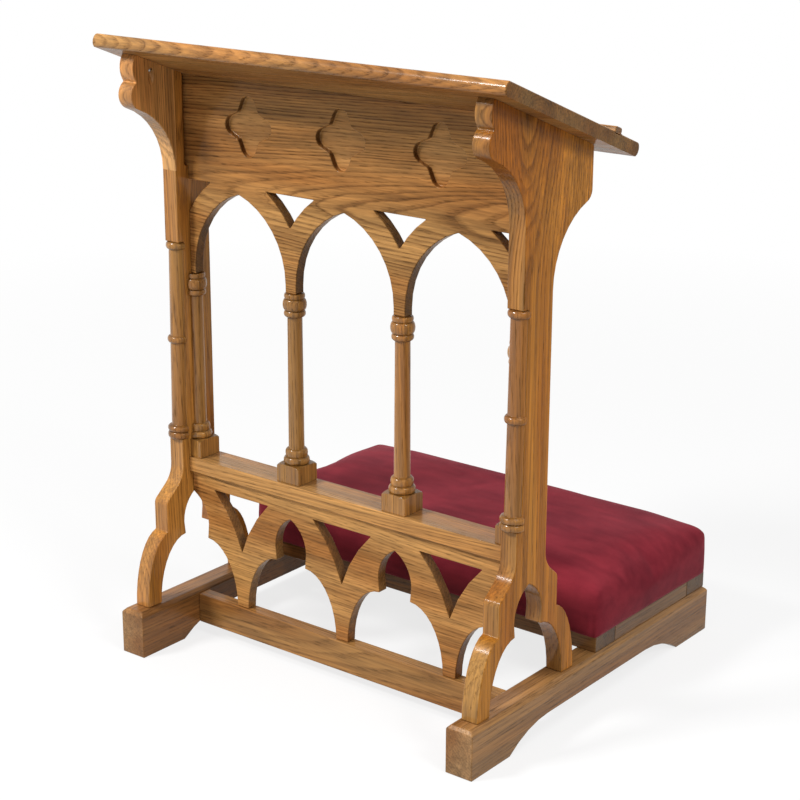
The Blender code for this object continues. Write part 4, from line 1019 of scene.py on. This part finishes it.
folds = pad.vertex_groups.new(name="folds")
for corner in pad.data.vertices:
    spot = corner.co
    inside = min(spot.x - pad_low.x, pad_high.x - spot.x)
    ahead = min(spot.y - pad_low.y, pad_high.y - spot.y)
    near = 1 - abs(inside - PLEAT_IN) / PLEAT_WIDTH
    rise = (pad_low.z + PLEAT_TOP - spot.z) / PLEAT_FADE
    if near > 0 and rise > 0 and ahead < PLEAT_IN and spot.z > pad_low.z + PLEAT_FOOT:
        folds.add([corner.index], near * near * (3 - 2 * near) * min(1.0, rise), "REPLACE")
groove = pad.modifiers.new("pleats", "DISPLACE")
groove.vertex_group = "folds"
groove.mid_level = 0
groove.strength = -PLEAT_DEPTH
apply_all(pad)
print("pleats", PLEAT_DEPTH * 1000, "mm deep")

# %% Hem
HEM_WIDTH = 0.018
PAD_SMOOTH_ANGLE = math.radians(50)

board_low, board_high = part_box("kneeler_board")
slack = Vector((GLUE_GAP, GLUE_GAP, GLUE_GAP))
inset = Vector((HEM_WIDTH, HEM_WIDTH, 0))
below = Vector((0, 0, HEM_WIDTH))
cutters = (
    block("board_room", board_low - slack, board_high + slack),
    block("hem_opening", pad_low + inset - below, Vector((pad_high.x, pad_high.y, board_low.z)) - inset),
)
for cutter in cutters:
    cut = pad.modifiers.new(cutter.name, "BOOLEAN")
    cut.operation = "DIFFERENCE"
    cut.object = cutter
apply_all(pad)
for cutter in cutters:
    bpy.data.objects.remove(cutter)
pick(pad)
bpy.ops.object.shade_smooth_by_angle(angle=PAD_SMOOTH_ANGLE)
fit(pad, velvet, "velvet", "kneeler_cover", "kneeler_foam")

# %% [markdown]
# ## What is hidden
# The board under the foam, the dowels and the screws stay as plain solids, because they lie inside the
# joints. Each still gets the look of its stuff: pale plywood, beech and zinc-plated steel.

# %% Hidden pieces
STREAK_FROM, STREAK_TO = 0.35, 0.65
SHEEN_FROM, SHEEN_TO, SHEEN_SPREAD = 0.2, 0.8, 0.1


def plain_finish(name, dark, pale, stretch, roughness, metallic=0.0):
    """Streaks between two colours, a little rougher where they are pale."""
    finish, tree, shader = new_finish(name)
    streak = noise(tree, node(tree, "TexCoord").outputs["Object"], stretch, 3).outputs[0]
    paleness = ranged(tree, streak, STREAK_FROM, STREAK_TO)
    smooth, rough = roughness - SHEEN_SPREAD, roughness + SHEEN_SPREAD
    fill(tree, shader, {
        "Base Color": blended(tree, "MIX", paleness, (*dark, 1), (*pale, 1)),
        "Roughness": ranged(tree, streak, SHEEN_FROM, SHEEN_TO, smooth, rough),
        "Metallic": metallic,
    })
    return finish


HIDDEN_STUFF = {
    "kneeler_board": plain_finish(
        "birch_plywood", (0.42, 0.27, 0.14), (0.60, 0.43, 0.26), (18, 160, 900), 0.6,
    ),
    "dowel": plain_finish("beech_dowel", (0.46, 0.27, 0.14), (0.60, 0.40, 0.24), (120, 120, 120), 0.55),
    "screw": plain_finish("zinc_screw", (0.42, 0.42, 0.40), (0.62, 0.62, 0.60), (300, 300, 300), 0.35, 1.0),
}
for name, solid in frame["nodes"].items():
    for word, stuff in HIDDEN_STUFF.items():
        if word in name:
            solid.data.materials.clear()
            solid.data.materials.append(stuff)
print("hidden stuff:", ", ".join(HIDDEN_STUFF))
